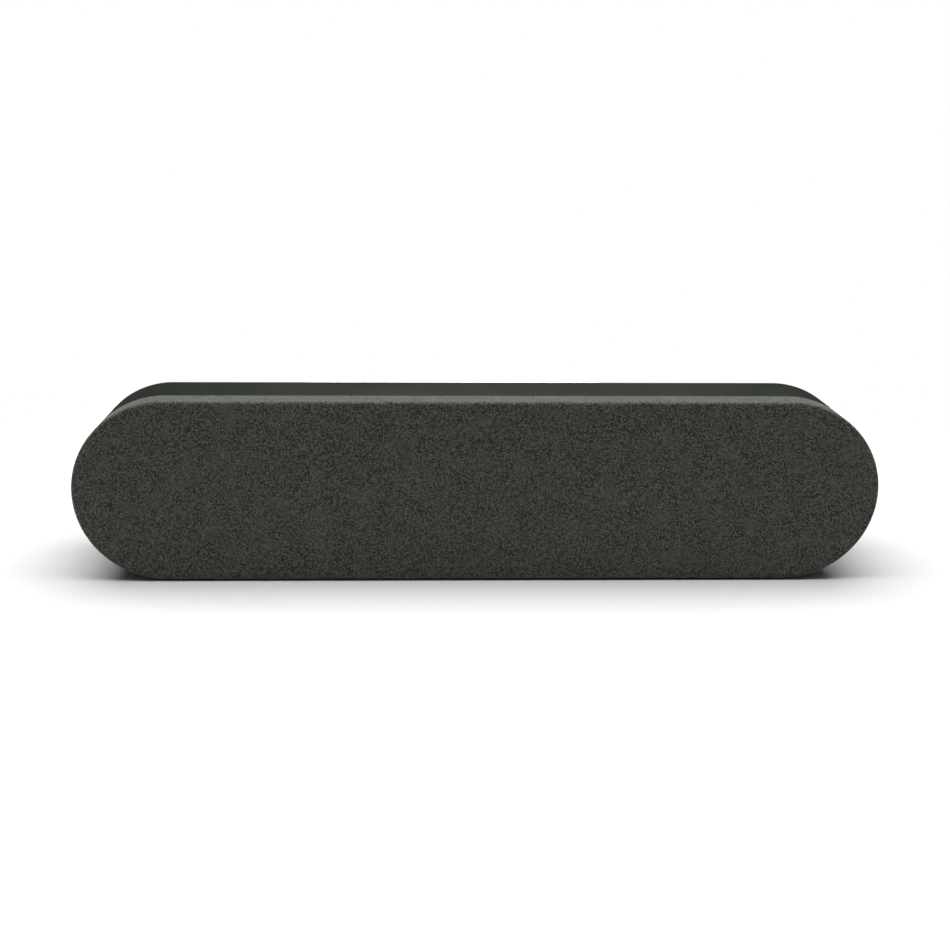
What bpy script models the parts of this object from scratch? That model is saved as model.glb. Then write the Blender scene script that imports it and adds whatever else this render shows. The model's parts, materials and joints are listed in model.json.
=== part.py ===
"""A compact tabletop soundbar with a cloth-covered front, built as an assembly of separate pieces.

The bar is a stadium in front view: two half-round ends joined by a straight middle. Its outline shrinks
evenly from the front edge to the back, and a large radius turns it into the flat back wall.
X runs along the bar, Y runs from the front (low) to the back (high) and Z is up. The origin is under
the middle of the bar, on the surface that it stands on.
A name that ends in _AT is a depth: a distance behind the front face.
"""

import math

import bmesh
import bpy
from mathutils import Matrix

MM = 0.001

# ---- Driving dimensions ------------------------------------------------------------------------------

WIDTH = 449 * MM
HEIGHT = 103 * MM
DEPTH = 80 * MM
FOOT_PROUD = 1.2 * MM

END_RADIUS = HEIGHT / 2
END_REACH = WIDTH / 2 - END_RADIUS
AXIS_Z = FOOT_PROUD + HEIGHT / 2
FRONT_Y = -DEPTH / 2

FRONT_ROUND = 1.6 * MM
BACK_ROUND = 20 * MM
SIDE_SLOPE = 5.5 / 57.5
GAP = 0.3 * MM

# ---- Front cover: a frame on six pegs, with the cloth stretched over it ---------------------------------

COVER_DEPTH = 20 * MM
CLOTH = 0.9 * MM
FRAME_INSET = CLOTH + GAP
FRAME_WALL = 2.0 * MM
FRAME_PLATE_BACK_AT = FRAME_INSET + 2.2 * MM
FRAME_BACK_AT = COVER_DEPTH - 0.6 * MM
SLOT_WIDTH = 12 * MM
SLOT_PITCH = 17 * MM
SLOT_REACH = 38 * MM
SLOTS_A_SIDE = 12
PEG_RADIUS = 2.4 * MM
PEG_TIP_AT = 18 * MM
PEG_PLACES = [(side * 5.5 * SLOT_PITCH, 0.0) for side in (-1, 1)]
PEG_PLACES += [(side * 11.5 * SLOT_PITCH, up * 24 * MM) for side in (-1, 1) for up in (-1, 1)]

# ---- Cabinet: the housing, a foam gasket and the baffle -------------------------------------------------

WALL = 3 * MM
NECK_RADIUS = 46.3 * MM
CAVITY_RADIUS = 43.3 * MM
BAFFLE_RADIUS = 46.0 * MM
BAFFLE_AT = 12 * MM
BAFFLE_BACK_AT = 16 * MM
SOCKET_WALL = 2 * MM
GASKET_BACK_AT = BAFFLE_BACK_AT + GAP + 1.0 * MM
NECK_AT = GASKET_BACK_AT + GAP
SHOULDER_AT = COVER_DEPTH + GAP
BACK_ARC_AT = DEPTH - BACK_ROUND

BAFFLE_SCREW_PLACES = [(side * 92 * MM, up * 37 * MM) for side in (-1, 1) for up in (-1, 1)]
BAFFLE_SCREW_PLACES += [(side * 203 * MM, 0.0) for side in (-1, 1)]
SCREW_SHANK = 1.5 * MM
SCREW_HEAD = 3.2 * MM
SCREW_HEAD_HEIGHT = 1.9 * MM
SCREW_LENGTH = 14 * MM
BOSS_RADIUS = 4 * MM
BOSS_BACK_AT = 38 * MM
RIB = 2.4 * MM
RIB_REACH = 45.9 * MM

# ---- Drive units and passive radiator ------------------------------------------------------------------

DRIVER_X = 150 * MM
FLANGE_AT = BAFFLE_AT - GAP - 2 * MM
FLANGE_BACK_AT = BAFFLE_AT - GAP
FLANGE_SIDE = 80 * MM
FLANGE_CORNER = 8 * MM
DRIVER_SCREW_OUT = 33 * MM
DRIVER_SCREW_LENGTH = 10 * MM
BASKET_RADIUS = 36.4 * MM
BASKET_BACK_AT = 32 * MM
BASKET_MOUTH = 33.5 * MM
BASKET_THROAT = 34.3 * MM
BASKET_FLOOR_RADIUS = 25.5 * MM
BASKET_HOLE = 12.2 * MM
LEDGE_AT = 27.4 * MM
LEDGE_RADIUS = 21.0 * MM
FLOOR_AT = 30.0 * MM
MOUTH_BACK_AT = 13.2 * MM
CONE_RADIUS = 28.5 * MM
CONE_NECK_AT = 22.5 * MM
ROLL_RADIUS = 2.5 * MM
SKIN = 0.7 * MM
SURROUND_AT = FLANGE_AT - GAP - SKIN / 2
FORMER_RADIUS = 10.4 * MM
SPIDER_AT = 26.3 * MM
FRONT_PLATE_AT = BASKET_BACK_AT + GAP
MAGNET_AT = FRONT_PLATE_AT + 4 * MM + GAP
FRONT_PLATE_RADIUS = 24 * MM
FRONT_PLATE_HOLE = 11.7 * MM
MAGNET_RADIUS = 28 * MM
MAGNET_HOLE = 13 * MM
YOKE_RADIUS = 26 * MM
POLE_RADIUS = 9.2 * MM
MAGNET_BACK_AT = MAGNET_AT + 10 * MM
YOKE_AT = MAGNET_BACK_AT + GAP
YOKE_BACK_AT = YOKE_AT + 4 * MM

RADIATOR_REACH = 37 * MM
RADIATOR_FLANGE = 38 * MM
RADIATOR_HOLE = 34.2 * MM
RADIATOR_FRAME_INSIDE = 31.5 * MM
RADIATOR_PLATE = 25.6 * MM
RADIATOR_ROLL = 2.7 * MM
RADIATOR_LIP_AT = 17 * MM
RADIATOR_PLATE_THICKNESS = 1.8 * MM
WEIGHT_RADIUS = 13 * MM
WEIGHT_REACH = 20 * MM
WEIGHT_THICKNESS = 5 * MM

# ---- Connector bay and electronics ---------------------------------------------------------------------

BAY_WIDTH = 100 * MM
BAY_HEIGHT = 34 * MM
BAY_FLOOR_AT = 68.7 * MM
BAY_INNER_AT = 66 * MM
WINDOW_WIDTH = 80 * MM
WINDOW_HEIGHT = 22 * MM
PLATE_AT = BAY_FLOOR_AT + GAP
PLATE_BACK_AT = PLATE_AT + 2 * MM
PLATE_SCREW_X = 45 * MM

BOARD_AT = 57 * MM
BOARD_BACK_AT = BOARD_AT + 1.6 * MM
BOARD_WIDTH = 150 * MM
BOARD_HEIGHT = 58 * MM
STANDOFF_PLACES = [(side * 70 * MM, up * 24 * MM) for side in (-1, 1) for up in (-1, 1)]
STANDOFF_RADIUS = 3.2 * MM
PIN_RADIUS = 1.2 * MM

PART_AT = BOARD_BACK_AT + GAP
SOCKET_BACK_AT = PLATE_BACK_AT - 0.4 * MM
SOCKET_BODY_BACK_AT = PLATE_AT - GAP
POWER_JACK_X = -32 * MM
USB_X = -13 * MM
AUDIO_JACK_X = 5 * MM
LENS_X = 20 * MM
BUTTON_X = 32 * MM
POWER_NOSE = 3.9 * MM
AUDIO_NOSE = 3.0 * MM
USB_WIDTH = 9.0 * MM
USB_HEIGHT = 3.4 * MM
LENS_RADIUS = 1.5 * MM
BUTTON_RADIUS = 4.5 * MM
BUTTON_PROUD = 1.4 * MM
BUTTON_TRAVEL = 0.8 * MM
BUTTON_STEM_AT = 67.3 * MM

# ---- Feet and wall-mount inserts -----------------------------------------------------------------------

FOOT_X = 110 * MM
FOOT_LENGTH = 104 * MM
FOOT_AT = 23 * MM
FOOT_BACK_AT = 60 * MM
FOOT_SINK = 1.0 * MM
FOOT_CORNER = 8 * MM

INSERT_X = 130 * MM
INSERT_RADIUS = 4 * MM
INSERT_BORE = 2 * MM
INSERT_AT = 67.3 * MM

END_STEPS = 12
ROUND_STEPS = 20
SMALL_STEPS = 10
SCREW_STEPS = 8


# ---- Finishes: colour, roughness and metallic value ------------------------------------------------------

CLOTH_GREY = ((0.036, 0.037, 0.031), 0.95, 0.0)
HOUSING_GREY = ((0.035, 0.038, 0.035), 0.45, 0.0)
INNER_BLACK = ((0.015, 0.015, 0.016), 0.6, 0.0)
RUBBER_BLACK = ((0.01, 0.01, 0.01), 0.85, 0.0)
FOAM_GREY = ((0.06, 0.06, 0.065), 0.95, 0.0)
PAPER_BLACK = ((0.02, 0.02, 0.021), 0.8, 0.0)
TREATED_CLOTH = ((0.45, 0.27, 0.09), 0.9, 0.0)
COPPER = ((0.62, 0.27, 0.13), 0.35, 1.0)
STEEL = ((0.55, 0.55, 0.56), 0.35, 1.0)
BLACK_STEEL = ((0.03, 0.03, 0.032), 0.4, 1.0)
FERRITE = ((0.06, 0.06, 0.063), 0.55, 0.0)
ALUMINIUM = ((0.6, 0.61, 0.62), 0.4, 1.0)
BRASS = ((0.7, 0.52, 0.22), 0.35, 1.0)
BOARD_GREEN = ((0.02, 0.11, 0.05), 0.5, 0.0)
LENS_WHITE = ((0.75, 0.8, 0.8), 0.2, 0.0)
LEAD_RED = ((0.4, 0.03, 0.02), 0.5, 0.0)


# ---- Scene ---------------------------------------------------------------------------------------------


def make_collections():
    """Empties the scene, and makes one collection for the pieces and one for the tools that shape them."""
    for obj in list(bpy.data.objects):
        bpy.data.objects.remove(obj)
    made = []
    for name in ("soundbar", "tools"):
        collection = bpy.data.collections.new(name)
        bpy.context.scene.collection.children.link(collection)
        made.append(collection)
    made[1].hide_render = True
    return made


PIECES, TOOLS = make_collections()


def material_for(name, finish):
    """A Principled material of the piece's own."""
    colour, roughness, metallic = finish
    material = bpy.data.materials.new(f"{name}_finish")
    material.use_nodes = True
    shader = material.node_tree.nodes["Principled BSDF"]
    shader.inputs["Base Color"].default_value = (*colour, 1.0)
    shader.inputs["Roughness"].default_value = roughness
    shader.inputs["Metallic"].default_value = metallic
    material.diffuse_color = (*colour, 1.0)
    return material


def place(name, data, finish, x=0.0, z=AXIS_Z):
    """Puts a mesh or curve at x and height z, with its origin in the plane of the front face.

    A shape with no finish is a tool, which cuts or joins other shapes and isn't seen.
    """
    obj = bpy.data.objects.new(name, data)
    obj.location = (x, FRONT_Y, z)
    if finish is None:
        TOOLS.objects.link(obj)
        obj.hide_render = True
        obj.display_type = "WIRE"
        return obj
    PIECES.objects.link(obj)
    data.materials.append(material_for(name, finish))
    return obj


def cut(obj, *tools):
    """Takes each tool's shape away from the piece."""
    for tool in tools:
        modifier = obj.modifiers.new(f"cut_{tool.name}", "BOOLEAN")
        modifier.object = tool
        modifier.operation = "DIFFERENCE"


def join(obj, *tools):
    """Adds each tool's shape to the piece."""
    for tool in tools:
        modifier = obj.modifiers.new(f"join_{tool.name}", "BOOLEAN")
        modifier.object = tool
        modifier.operation = "UNION"


# ---- Shapes --------------------------------------------------------------------------------------------


def mesh_from(name, shape):
    """A mesh from a bmesh, shaded smooth except over edges sharper than 35 degrees."""
    mesh = bpy.data.meshes.new(name)
    shape.to_mesh(mesh)
    shape.free()
    mesh.shade_smooth()
    mesh.set_sharp_from_angle(angle=math.radians(35))
    return mesh


def stadium(name, profile, finish=None, reach=END_REACH, x=0.0):
    """A profile of (radius, depth) points carried round a stadium whose end centres stand reach to each side.

    The +X half is spun round its end and drawn to the middle, and a Mirror makes the other half.
    A profile that starts and ends at radius 0 makes a filled shape. Any other one is closed into a ring.
    """
    shape = bmesh.new()
    points = [shape.verts.new((reach, depth, -radius)) for radius, depth in profile]
    edges = [shape.edges.new(pair) for pair in zip(points, points[1:])]
    if profile[0][0] > 0:
        edges.append(shape.edges.new((points[-1], points[0])))
    turned_end = bmesh.ops.spin(
        shape, geom=points + edges, cent=(reach, 0, 0), axis=(0, -1, 0), angle=math.pi, steps=END_STEPS
    )["geom_last"]
    last_edges = [part for part in turned_end if isinstance(part, bmesh.types.BMEdge)]
    for row in (edges, last_edges):
        drawn = bmesh.ops.extrude_edge_only(shape, edges=row)["geom"]
        corners = [part for part in drawn if isinstance(part, bmesh.types.BMVert)]
        bmesh.ops.translate(shape, verts=corners, vec=(-reach, 0, 0))
    bmesh.ops.remove_doubles(shape, verts=shape.verts, dist=0.001 * MM)
    bmesh.ops.recalc_face_normals(shape, faces=shape.faces)
    obj = place(name, mesh_from(name, shape), finish, x=x)
    mirror = obj.modifiers.new("other_half", "MIRROR")
    mirror.merge_threshold = 0.01 * MM
    return obj


def turned(name, profile, finish=None, x=0.0, z=AXIS_Z, steps=ROUND_STEPS):
    """A profile of (radius, depth) points turned about an axis along Y.

    The profile runs down its outer side from the front to the back. It starts and ends at radius 0, or it
    is closed into a ring.
    """
    mesh = bpy.data.meshes.new(name)
    points = [(radius, 0.0, -depth) for radius, depth in profile]
    edges = [(i, i + 1) for i in range(len(points) - 1)]
    if profile[0][0] > 0:
        edges.append((len(points) - 1, 0))
    mesh.from_pydata(points, edges, [])
    obj = place(name, mesh, finish, x=x, z=z)
    obj.rotation_euler = (math.radians(90), 0, 0)
    screw = obj.modifiers.new("turn", "SCREW")
    screw.steps = steps
    screw.render_steps = steps
    screw.use_merge_vertices = True
    screw.merge_threshold = 0.001 * MM
    screw.use_smooth_shade = True
    return obj


def rod(name, radius, front_at, back_at, finish=None, x=0.0, z=AXIS_Z, steps=SMALL_STEPS):
    """A plain round bar along Y."""
    shape = bmesh.new()
    bmesh.ops.create_cone(
        shape, cap_ends=True, segments=steps, radius1=radius, radius2=radius, depth=back_at - front_at
    )
    bmesh.ops.rotate(shape, verts=shape.verts, matrix=Matrix.Rotation(math.radians(90), 3, "X"))
    bmesh.ops.translate(shape, verts=shape.verts, vec=(0, (front_at + back_at) / 2, 0))
    return place(name, mesh_from(name, shape), finish, x=x, z=z)


def rods(name, radius, front_at, back_at, places, steps=SMALL_STEPS):
    """A round bar, as a tool, at each (x, height above the axis) place."""
    return [
        rod(f"{name}_{i}", radius, front_at, back_at, x=x, z=AXIS_Z + up, steps=steps)
        for i, (x, up) in enumerate(places)
    ]


def add_box(shape, low, high, corner=0.0, axis=1):
    """Adds a box between two corners to a bmesh, with its edges along one axis rounded to a corner radius."""
    size = [b - a for a, b in zip(low, high)]
    made = bmesh.ops.create_cube(shape, size=1.0)["verts"]
    bmesh.ops.scale(shape, verts=made, vec=size)
    bmesh.ops.translate(shape, verts=made, vec=[(a + b) / 2 for a, b in zip(low, high)])
    if corner:
        edges = {edge for vert in made for edge in vert.link_edges}
        along = [e for e in edges if abs(e.verts[0].co[axis] - e.verts[1].co[axis]) > size[axis] / 2]
        bmesh.ops.bevel(shape, geom=along, offset=corner, segments=3, profile=0.5, affect="EDGES")


def block(name, width, height, front_at, back_at, finish=None, x=0.0, z=AXIS_Z, corner=0.0, edge=0.0):
    """A box with its corners rounded in front view, and its other edges taken off by edge."""
    shape = bmesh.new()
    add_box(shape, (-width / 2, front_at, -height / 2), (width / 2, back_at, height / 2), corner)
    obj = place(name, mesh_from(name, shape), finish, x=x, z=z)
    if edge:
        chamfer = obj.modifiers.new("edges", "BEVEL")
        chamfer.width = edge
        chamfer.segments = 1
    return obj


# ---- Outline of the bar --------------------------------------------------------------------------------


def side_radius(depth, inset=0.0):
    """Radius of the sloping side at a depth."""
    return END_RADIUS - SIDE_SLOPE * (depth - FRONT_ROUND) - inset


def front_edge(inset=0.0, steps=3):
    """The rounded front edge, from the front face to the side, moved in by inset."""
    centre = END_RADIUS - FRONT_ROUND
    radius = FRONT_ROUND - inset
    angles = [math.radians(90) * i / steps for i in range(steps + 1)]
    return [(centre + radius * math.sin(a), FRONT_ROUND - radius * math.cos(a)) for a in angles]


def back_edge(inset=0.0, steps=5):
    """The large back radius, from the sloping side to the back face, moved in by inset."""
    slope = math.atan(SIDE_SLOPE)
    touch = BACK_ARC_AT + BACK_ROUND * math.sin(slope)
    centre = side_radius(touch) - BACK_ROUND * math.cos(slope)
    radius = BACK_ROUND - inset
    angles = [slope + (math.radians(90) - slope) * i / steps for i in range(steps + 1)]
    return [(centre + radius * math.cos(a), BACK_ARC_AT + radius * math.sin(a)) for a in angles]


# ---- Front cover ---------------------------------------------------------------------------------------


def build_cloth():
    """The cloth: a thin shell over the front and the cover's rim."""
    outside = [(0.0, 0.0), *front_edge(), (side_radius(COVER_DEPTH), COVER_DEPTH)]
    inside = [(side_radius(COVER_DEPTH, CLOTH), COVER_DEPTH), *reversed(front_edge(CLOTH)), (0.0, CLOTH)]
    stadium("front_cloth", outside + inside, CLOTH_GREY)


def slot_tool():
    """A box for each upright slot in the frame, shorter where the ends of the bar turn in."""
    shape = bmesh.new()
    for i in range(-SLOTS_A_SIDE, SLOTS_A_SIDE + 1):
        middle = i * SLOT_PITCH
        past_end = max(0.0, abs(middle) + SLOT_WIDTH / 2 - END_REACH)
        up = math.sqrt(SLOT_REACH**2 - past_end**2)
        low = (middle - SLOT_WIDTH / 2, 0.0, -up)
        high = (middle + SLOT_WIDTH / 2, FRAME_PLATE_BACK_AT + 1 * MM, up)
        add_box(shape, low, high)
    return place("frame_slots", mesh_from("frame_slots", shape), None)


def build_frame():
    """The moulded frame under the cloth: a slotted plate, a rim and the pegs that hold the cover on."""
    rim = FRAME_INSET + FRAME_WALL
    outside = [
        (0.0, FRAME_INSET),
        *front_edge(FRAME_INSET),
        (side_radius(FRAME_BACK_AT, FRAME_INSET), FRAME_BACK_AT),
    ]
    inside = [
        (side_radius(FRAME_BACK_AT, rim), FRAME_BACK_AT),
        (side_radius(FRAME_PLATE_BACK_AT, rim), FRAME_PLATE_BACK_AT),
        (0.0, FRAME_PLATE_BACK_AT),
    ]
    frame = stadium("grille_frame", outside + inside, INNER_BLACK)
    join(frame, *rods("peg", PEG_RADIUS, FRAME_INSET + 1 * MM, PEG_TIP_AT, PEG_PLACES))
    cut(frame, slot_tool())


# ---- Cabinet -------------------------------------------------------------------------------------------


def foot_wedge(name, finish, clearance, sink):
    """A wedge that fills the space between the sloping underside and the table, as long as a foot.

    Its top follows the underside, sunk into it. A clearance widens it all round, for the recess it sits in.
    """

    def underside(depth):
        return AXIS_Z - side_radius(depth) + sink

    shape = bmesh.new()
    front, back = FOOT_AT - clearance, FOOT_BACK_AT + clearance
    half = FOOT_LENGTH / 2 + clearance
    bottom = 0.0 if finish else -1 * MM
    add_box(shape, (-half, front, bottom), (half, back, underside(back)), FOOT_CORNER + clearance, axis=2)
    middle = underside(back) / 2
    for vert in shape.verts:
        if vert.co.z > middle:
            vert.co.z = underside(vert.co.y)
    return place(name, mesh_from(name, shape), finish, z=0.0)


def housing_profile():
    """Section of the tub, from the middle of the inner back wall round to the middle of the outer one."""
    inside = [(0.0, DEPTH - WALL), *reversed(back_edge(WALL))]
    throat_back_at = SHOULDER_AT + WALL
    inside += [
        (side_radius(throat_back_at + WALL, WALL), throat_back_at + WALL),
        (CAVITY_RADIUS, throat_back_at),
        (CAVITY_RADIUS, NECK_AT),
    ]
    outside = [
        (NECK_RADIUS, NECK_AT),
        (NECK_RADIUS, SHOULDER_AT),
        (side_radius(SHOULDER_AT), SHOULDER_AT),
        *back_edge(),
        (0.0, DEPTH),
    ]
    return inside + outside


def rib_tools():
    """A rib from each baffle screw boss to the nearest wall."""
    made = []
    for i, (x, up) in enumerate(BAFFLE_SCREW_PLACES):
        shape = bmesh.new()
        low, high = NECK_AT + GAP, BOSS_BACK_AT
        if up:
            add_box(shape, (-RIB / 2, low, 0.0), (RIB / 2, high, RIB_REACH - abs(up)))
            turn = 0.0 if up > 0 else math.pi
        else:
            add_box(shape, (-RIB / 2, low, 0.0), (RIB / 2, high, END_REACH + RIB_REACH - abs(x)))
            turn = math.copysign(math.pi / 2, x)
        bmesh.ops.rotate(shape, verts=shape.verts, matrix=Matrix.Rotation(turn, 3, "Y"))
        made.append(place(f"rib_{i}", mesh_from(f"rib_{i}", shape), None, x=x, z=AXIS_Z + up))
    return made


def build_housing():
    """The moulded housing, with its bosses, connector bay, foot recesses and insert pockets."""
    housing = stadium("housing", housing_profile(), HOUSING_GREY)
    inserts = [(-INSERT_X, 0.0), (INSERT_X, 0.0)]
    plate_screws = [(-PLATE_SCREW_X, 0.0), (PLATE_SCREW_X, 0.0)]
    into_wall = DEPTH - WALL / 2
    shell = 2 * WALL
    boss_front = BAFFLE_BACK_AT + GAP

    join(housing, *rods("boss", BOSS_RADIUS, boss_front, BOSS_BACK_AT, BAFFLE_SCREW_PLACES))
    join(housing, *rib_tools())
    join(housing, *rods("standoff", STANDOFF_RADIUS, PART_AT, into_wall, STANDOFF_PLACES))
    join(housing, *rods("stake", PIN_RADIUS, BOARD_AT - 1.2 * MM, PART_AT + 1 * MM, STANDOFF_PLACES))
    join(housing, *rods("insert_boss", INSERT_RADIUS + WALL, INSERT_AT - 2.3 * MM, into_wall, inserts))
    join(housing, block("bay_shell", BAY_WIDTH + shell, BAY_HEIGHT + shell, BAY_INNER_AT, into_wall))
    join(housing, *rods("plate_boss", 3.5 * MM, BAY_INNER_AT - 4 * MM, BAY_INNER_AT + 1 * MM, plate_screws))

    past_back = DEPTH + 1 * MM
    cut(housing, block("bay_hollow", BAY_WIDTH, BAY_HEIGHT, BAY_FLOOR_AT, past_back, corner=5 * MM))
    front, back = BAY_INNER_AT - 1 * MM, BAY_FLOOR_AT + 1 * MM
    cut(housing, block("bay_window", WINDOW_WIDTH, WINDOW_HEIGHT, front, back))
    cut(housing, *rods("insert_pocket", INSERT_RADIUS + GAP, INSERT_AT - GAP, past_back, inserts))
    bore = SCREW_SHANK + GAP
    cut(housing, *rods("boss_bore", bore, boss_front - 1 * MM, BOSS_BACK_AT - 4 * MM, BAFFLE_SCREW_PLACES))
    cut(housing, *rods("plate_bore", 1.5 * MM, BAY_INNER_AT - 3 * MM, BAY_FLOOR_AT + 1 * MM, plate_screws))
    for side in (-1, 1):
        recess = foot_wedge(f"foot_recess_{side}", None, GAP, FOOT_SINK)
        recess.location.x = side * FOOT_X
        cut(housing, recess)


def driver_screw_places():
    """The four corners of each driver's flange."""
    out = DRIVER_SCREW_OUT
    return [(side * DRIVER_X + a * out, b * out) for side in (-1, 1) for a in (-1, 1) for b in (-1, 1)]


def build_baffle():
    """The board that carries the drivers and the passive radiator, with its gasket."""
    plate = [
        (0.0, BAFFLE_AT),
        (BAFFLE_RADIUS, BAFFLE_AT),
        (BAFFLE_RADIUS, BAFFLE_BACK_AT),
        (0.0, BAFFLE_BACK_AT),
    ]
    baffle = stadium("baffle", plate, INNER_BLACK)
    socket = PEG_RADIUS + GAP
    socket_back_at = PEG_TIP_AT + 1 * MM
    front, back = BAFFLE_AT - 1 * MM, BAFFLE_BACK_AT + 1 * MM
    wall_at, wall_back_at = BAFFLE_AT + 2 * MM, socket_back_at + SOCKET_WALL
    join(baffle, *rods("socket_wall", socket + SOCKET_WALL, wall_at, wall_back_at, PEG_PLACES))
    cut(baffle, *rods("socket", socket, front, socket_back_at, PEG_PLACES))
    cut(baffle, *rods("baffle_hole", SCREW_SHANK + GAP, front, back, BAFFLE_SCREW_PLACES))
    cut(baffle, *rods("driver_hole", SCREW_SHANK + GAP, front, back, driver_screw_places()))
    clear = BASKET_RADIUS + 0.5 * MM
    for side in (-1, 1):
        x = side * DRIVER_X
        cut(baffle, rod(f"driver_cutout_{side}", clear, front, back, x=x, steps=ROUND_STEPS))
    opening = [(0.0, front), (RADIATOR_HOLE, front), (RADIATOR_HOLE, back), (0.0, back)]
    cut(baffle, stadium("radiator_cutout", opening, reach=RADIATOR_REACH))

    inner = CAVITY_RADIUS + GAP
    front, back = BAFFLE_BACK_AT + GAP, GASKET_BACK_AT
    ring = [(inner, front), (BAFFLE_RADIUS, front), (BAFFLE_RADIUS, back), (inner, back)]
    stadium("baffle_gasket", ring, FOAM_GREY)


def build_screw(name, x, up, head_back_at, length):
    """A pan-head screw with a round recess for the driver bit, its head to the front."""
    head_at = head_back_at - SCREW_HEAD_HEIGHT
    profile = [
        (0.0, head_at + 1.1 * MM),
        (1.2 * MM, head_at),
        (SCREW_HEAD - 0.7 * MM, head_at),
        (SCREW_HEAD, head_at + 0.9 * MM),
        (SCREW_HEAD, head_back_at),
        (SCREW_SHANK, head_back_at),
        (SCREW_SHANK, head_back_at + length - 1.5 * MM),
        (0.0, head_back_at + length),
    ]
    return turned(name, profile, STEEL, x=x, z=AXIS_Z + up, steps=SCREW_STEPS)


def build_screws():
    """The six baffle screws and the eight driver screws."""
    for i, (x, up) in enumerate(BAFFLE_SCREW_PLACES, start=1):
        build_screw(f"baffle_screw_{i}", x, up, BAFFLE_AT - GAP, SCREW_LENGTH)
    for i, (x, up) in enumerate(driver_screw_places()):
        side = "left" if x < 0 else "right"
        build_screw(f"driver_screw_{side}_{i % 4 + 1}", x, up, FLANGE_AT - GAP, DRIVER_SCREW_LENGTH)


# ---- Drivers -------------------------------------------------------------------------------------------


def roll_profile(inner, outer, roll, lip, steps=4):
    """Section of a half-roll edge between two flat lips, bulging to the front, as an even skin."""
    middle = (inner + outer) / 2
    angles = [math.pi * i / steps for i in range(steps + 1)]
    front = [(middle - (roll + SKIN / 2) * math.cos(a), -(roll + SKIN / 2) * math.sin(a)) for a in angles]
    back = [(middle + (roll - SKIN / 2) * math.cos(a), -(roll - SKIN / 2) * math.sin(a)) for a in angles]
    front = [(inner - lip, 0.0), *front[1:-1], (outer + lip, 0.0)]
    back = [(outer + lip, 0.0), *back, (inner - lip, 0.0)]
    raised = [(radius, SURROUND_AT - SKIN / 2 + depth) for radius, depth in front]
    lowered = [(radius, SURROUND_AT + SKIN / 2 + depth) for radius, depth in back]
    return raised + lowered


def basket_windows(name, x):
    """Four blocks that open the sloping wall of a basket."""
    shape = bmesh.new()
    for i in range(4):
        turned_box = bmesh.new()
        add_box(turned_box, (20 * MM, 16 * MM, -9 * MM), (42 * MM, 24.5 * MM, 9 * MM))
        turn = Matrix.Rotation(math.radians(90 * i), 3, "Y")
        bmesh.ops.rotate(turned_box, verts=turned_box.verts, matrix=turn)
        part = bpy.data.meshes.new("window")
        turned_box.to_mesh(part)
        turned_box.free()
        shape.from_mesh(part)
        bpy.data.meshes.remove(part)
    return place(name, mesh_from(name, shape), None, x=x)


def build_basket(side, x):
    """The pressed frame: a square flange, a sloping wall with four windows, and a floor with a ledge."""
    square = (FLANGE_SIDE, FLANGE_SIDE, FLANGE_AT, FLANGE_BACK_AT)
    flange = block(f"basket_{side}", *square, BLACK_STEEL, x=x, corner=FLANGE_CORNER)
    wall = [
        (BASKET_RADIUS, FLANGE_AT + 1 * MM),
        (BASKET_RADIUS, 13.5 * MM),
        (BASKET_FLOOR_RADIUS + 1.5 * MM, LEDGE_AT + 0.6 * MM),
        (BASKET_FLOOR_RADIUS, LEDGE_AT + 1.6 * MM),
        (BASKET_FLOOR_RADIUS, BASKET_BACK_AT),
        (BASKET_HOLE, BASKET_BACK_AT),
        (BASKET_HOLE, FLOOR_AT),
        (LEDGE_RADIUS, FLOOR_AT),
        (LEDGE_RADIUS, LEDGE_AT),
        (BASKET_FLOOR_RADIUS - 0.5 * MM, LEDGE_AT),
        (BASKET_THROAT, MOUTH_BACK_AT),
        (BASKET_THROAT, FLANGE_AT + 1 * MM),
    ]
    join(flange, turned(f"basket_wall_{side}", wall, x=x))
    front, back = FLANGE_AT - 1 * MM, MOUTH_BACK_AT
    mouth = rod(f"basket_mouth_{side}", BASKET_MOUTH, front, back, x=x, steps=ROUND_STEPS)
    cut(flange, mouth, basket_windows(f"basket_windows_{side}", x))
    corners = [(a, b) for a, b in driver_screw_places() if (a - x) ** 2 < FLANGE_SIDE**2 / 4]
    front, back = FLANGE_AT - 1 * MM, FLANGE_BACK_AT + 0.6 * MM
    cut(flange, *rods(f"flange_hole_{side}", SCREW_SHANK + GAP, front, back, corners))


def build_motor(side, x):
    """The fixed magnet system: front plate, ferrite ring, and a yoke with its pole."""
    washer = [
        (FRONT_PLATE_HOLE, FRONT_PLATE_AT),
        (FRONT_PLATE_RADIUS, FRONT_PLATE_AT),
        (FRONT_PLATE_RADIUS, MAGNET_AT - GAP),
        (FRONT_PLATE_HOLE, MAGNET_AT - GAP),
    ]
    turned(f"front_plate_{side}", washer, STEEL, x=x)
    ring = [
        (MAGNET_HOLE, MAGNET_AT),
        (MAGNET_RADIUS, MAGNET_AT),
        (MAGNET_RADIUS, MAGNET_BACK_AT),
        (MAGNET_HOLE, MAGNET_BACK_AT),
    ]
    turned(f"magnet_{side}", ring, FERRITE, x=x)
    pole = [
        (0.0, FRONT_PLATE_AT),
        (POLE_RADIUS, FRONT_PLATE_AT),
        (POLE_RADIUS, YOKE_AT),
        (YOKE_RADIUS, YOKE_AT),
        (YOKE_RADIUS, YOKE_BACK_AT - 1 * MM),
        (YOKE_RADIUS - 1 * MM, YOKE_BACK_AT),
        (0.0, YOKE_BACK_AT),
    ]
    turned(f"yoke_{side}", pole, STEEL, x=x)


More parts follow.
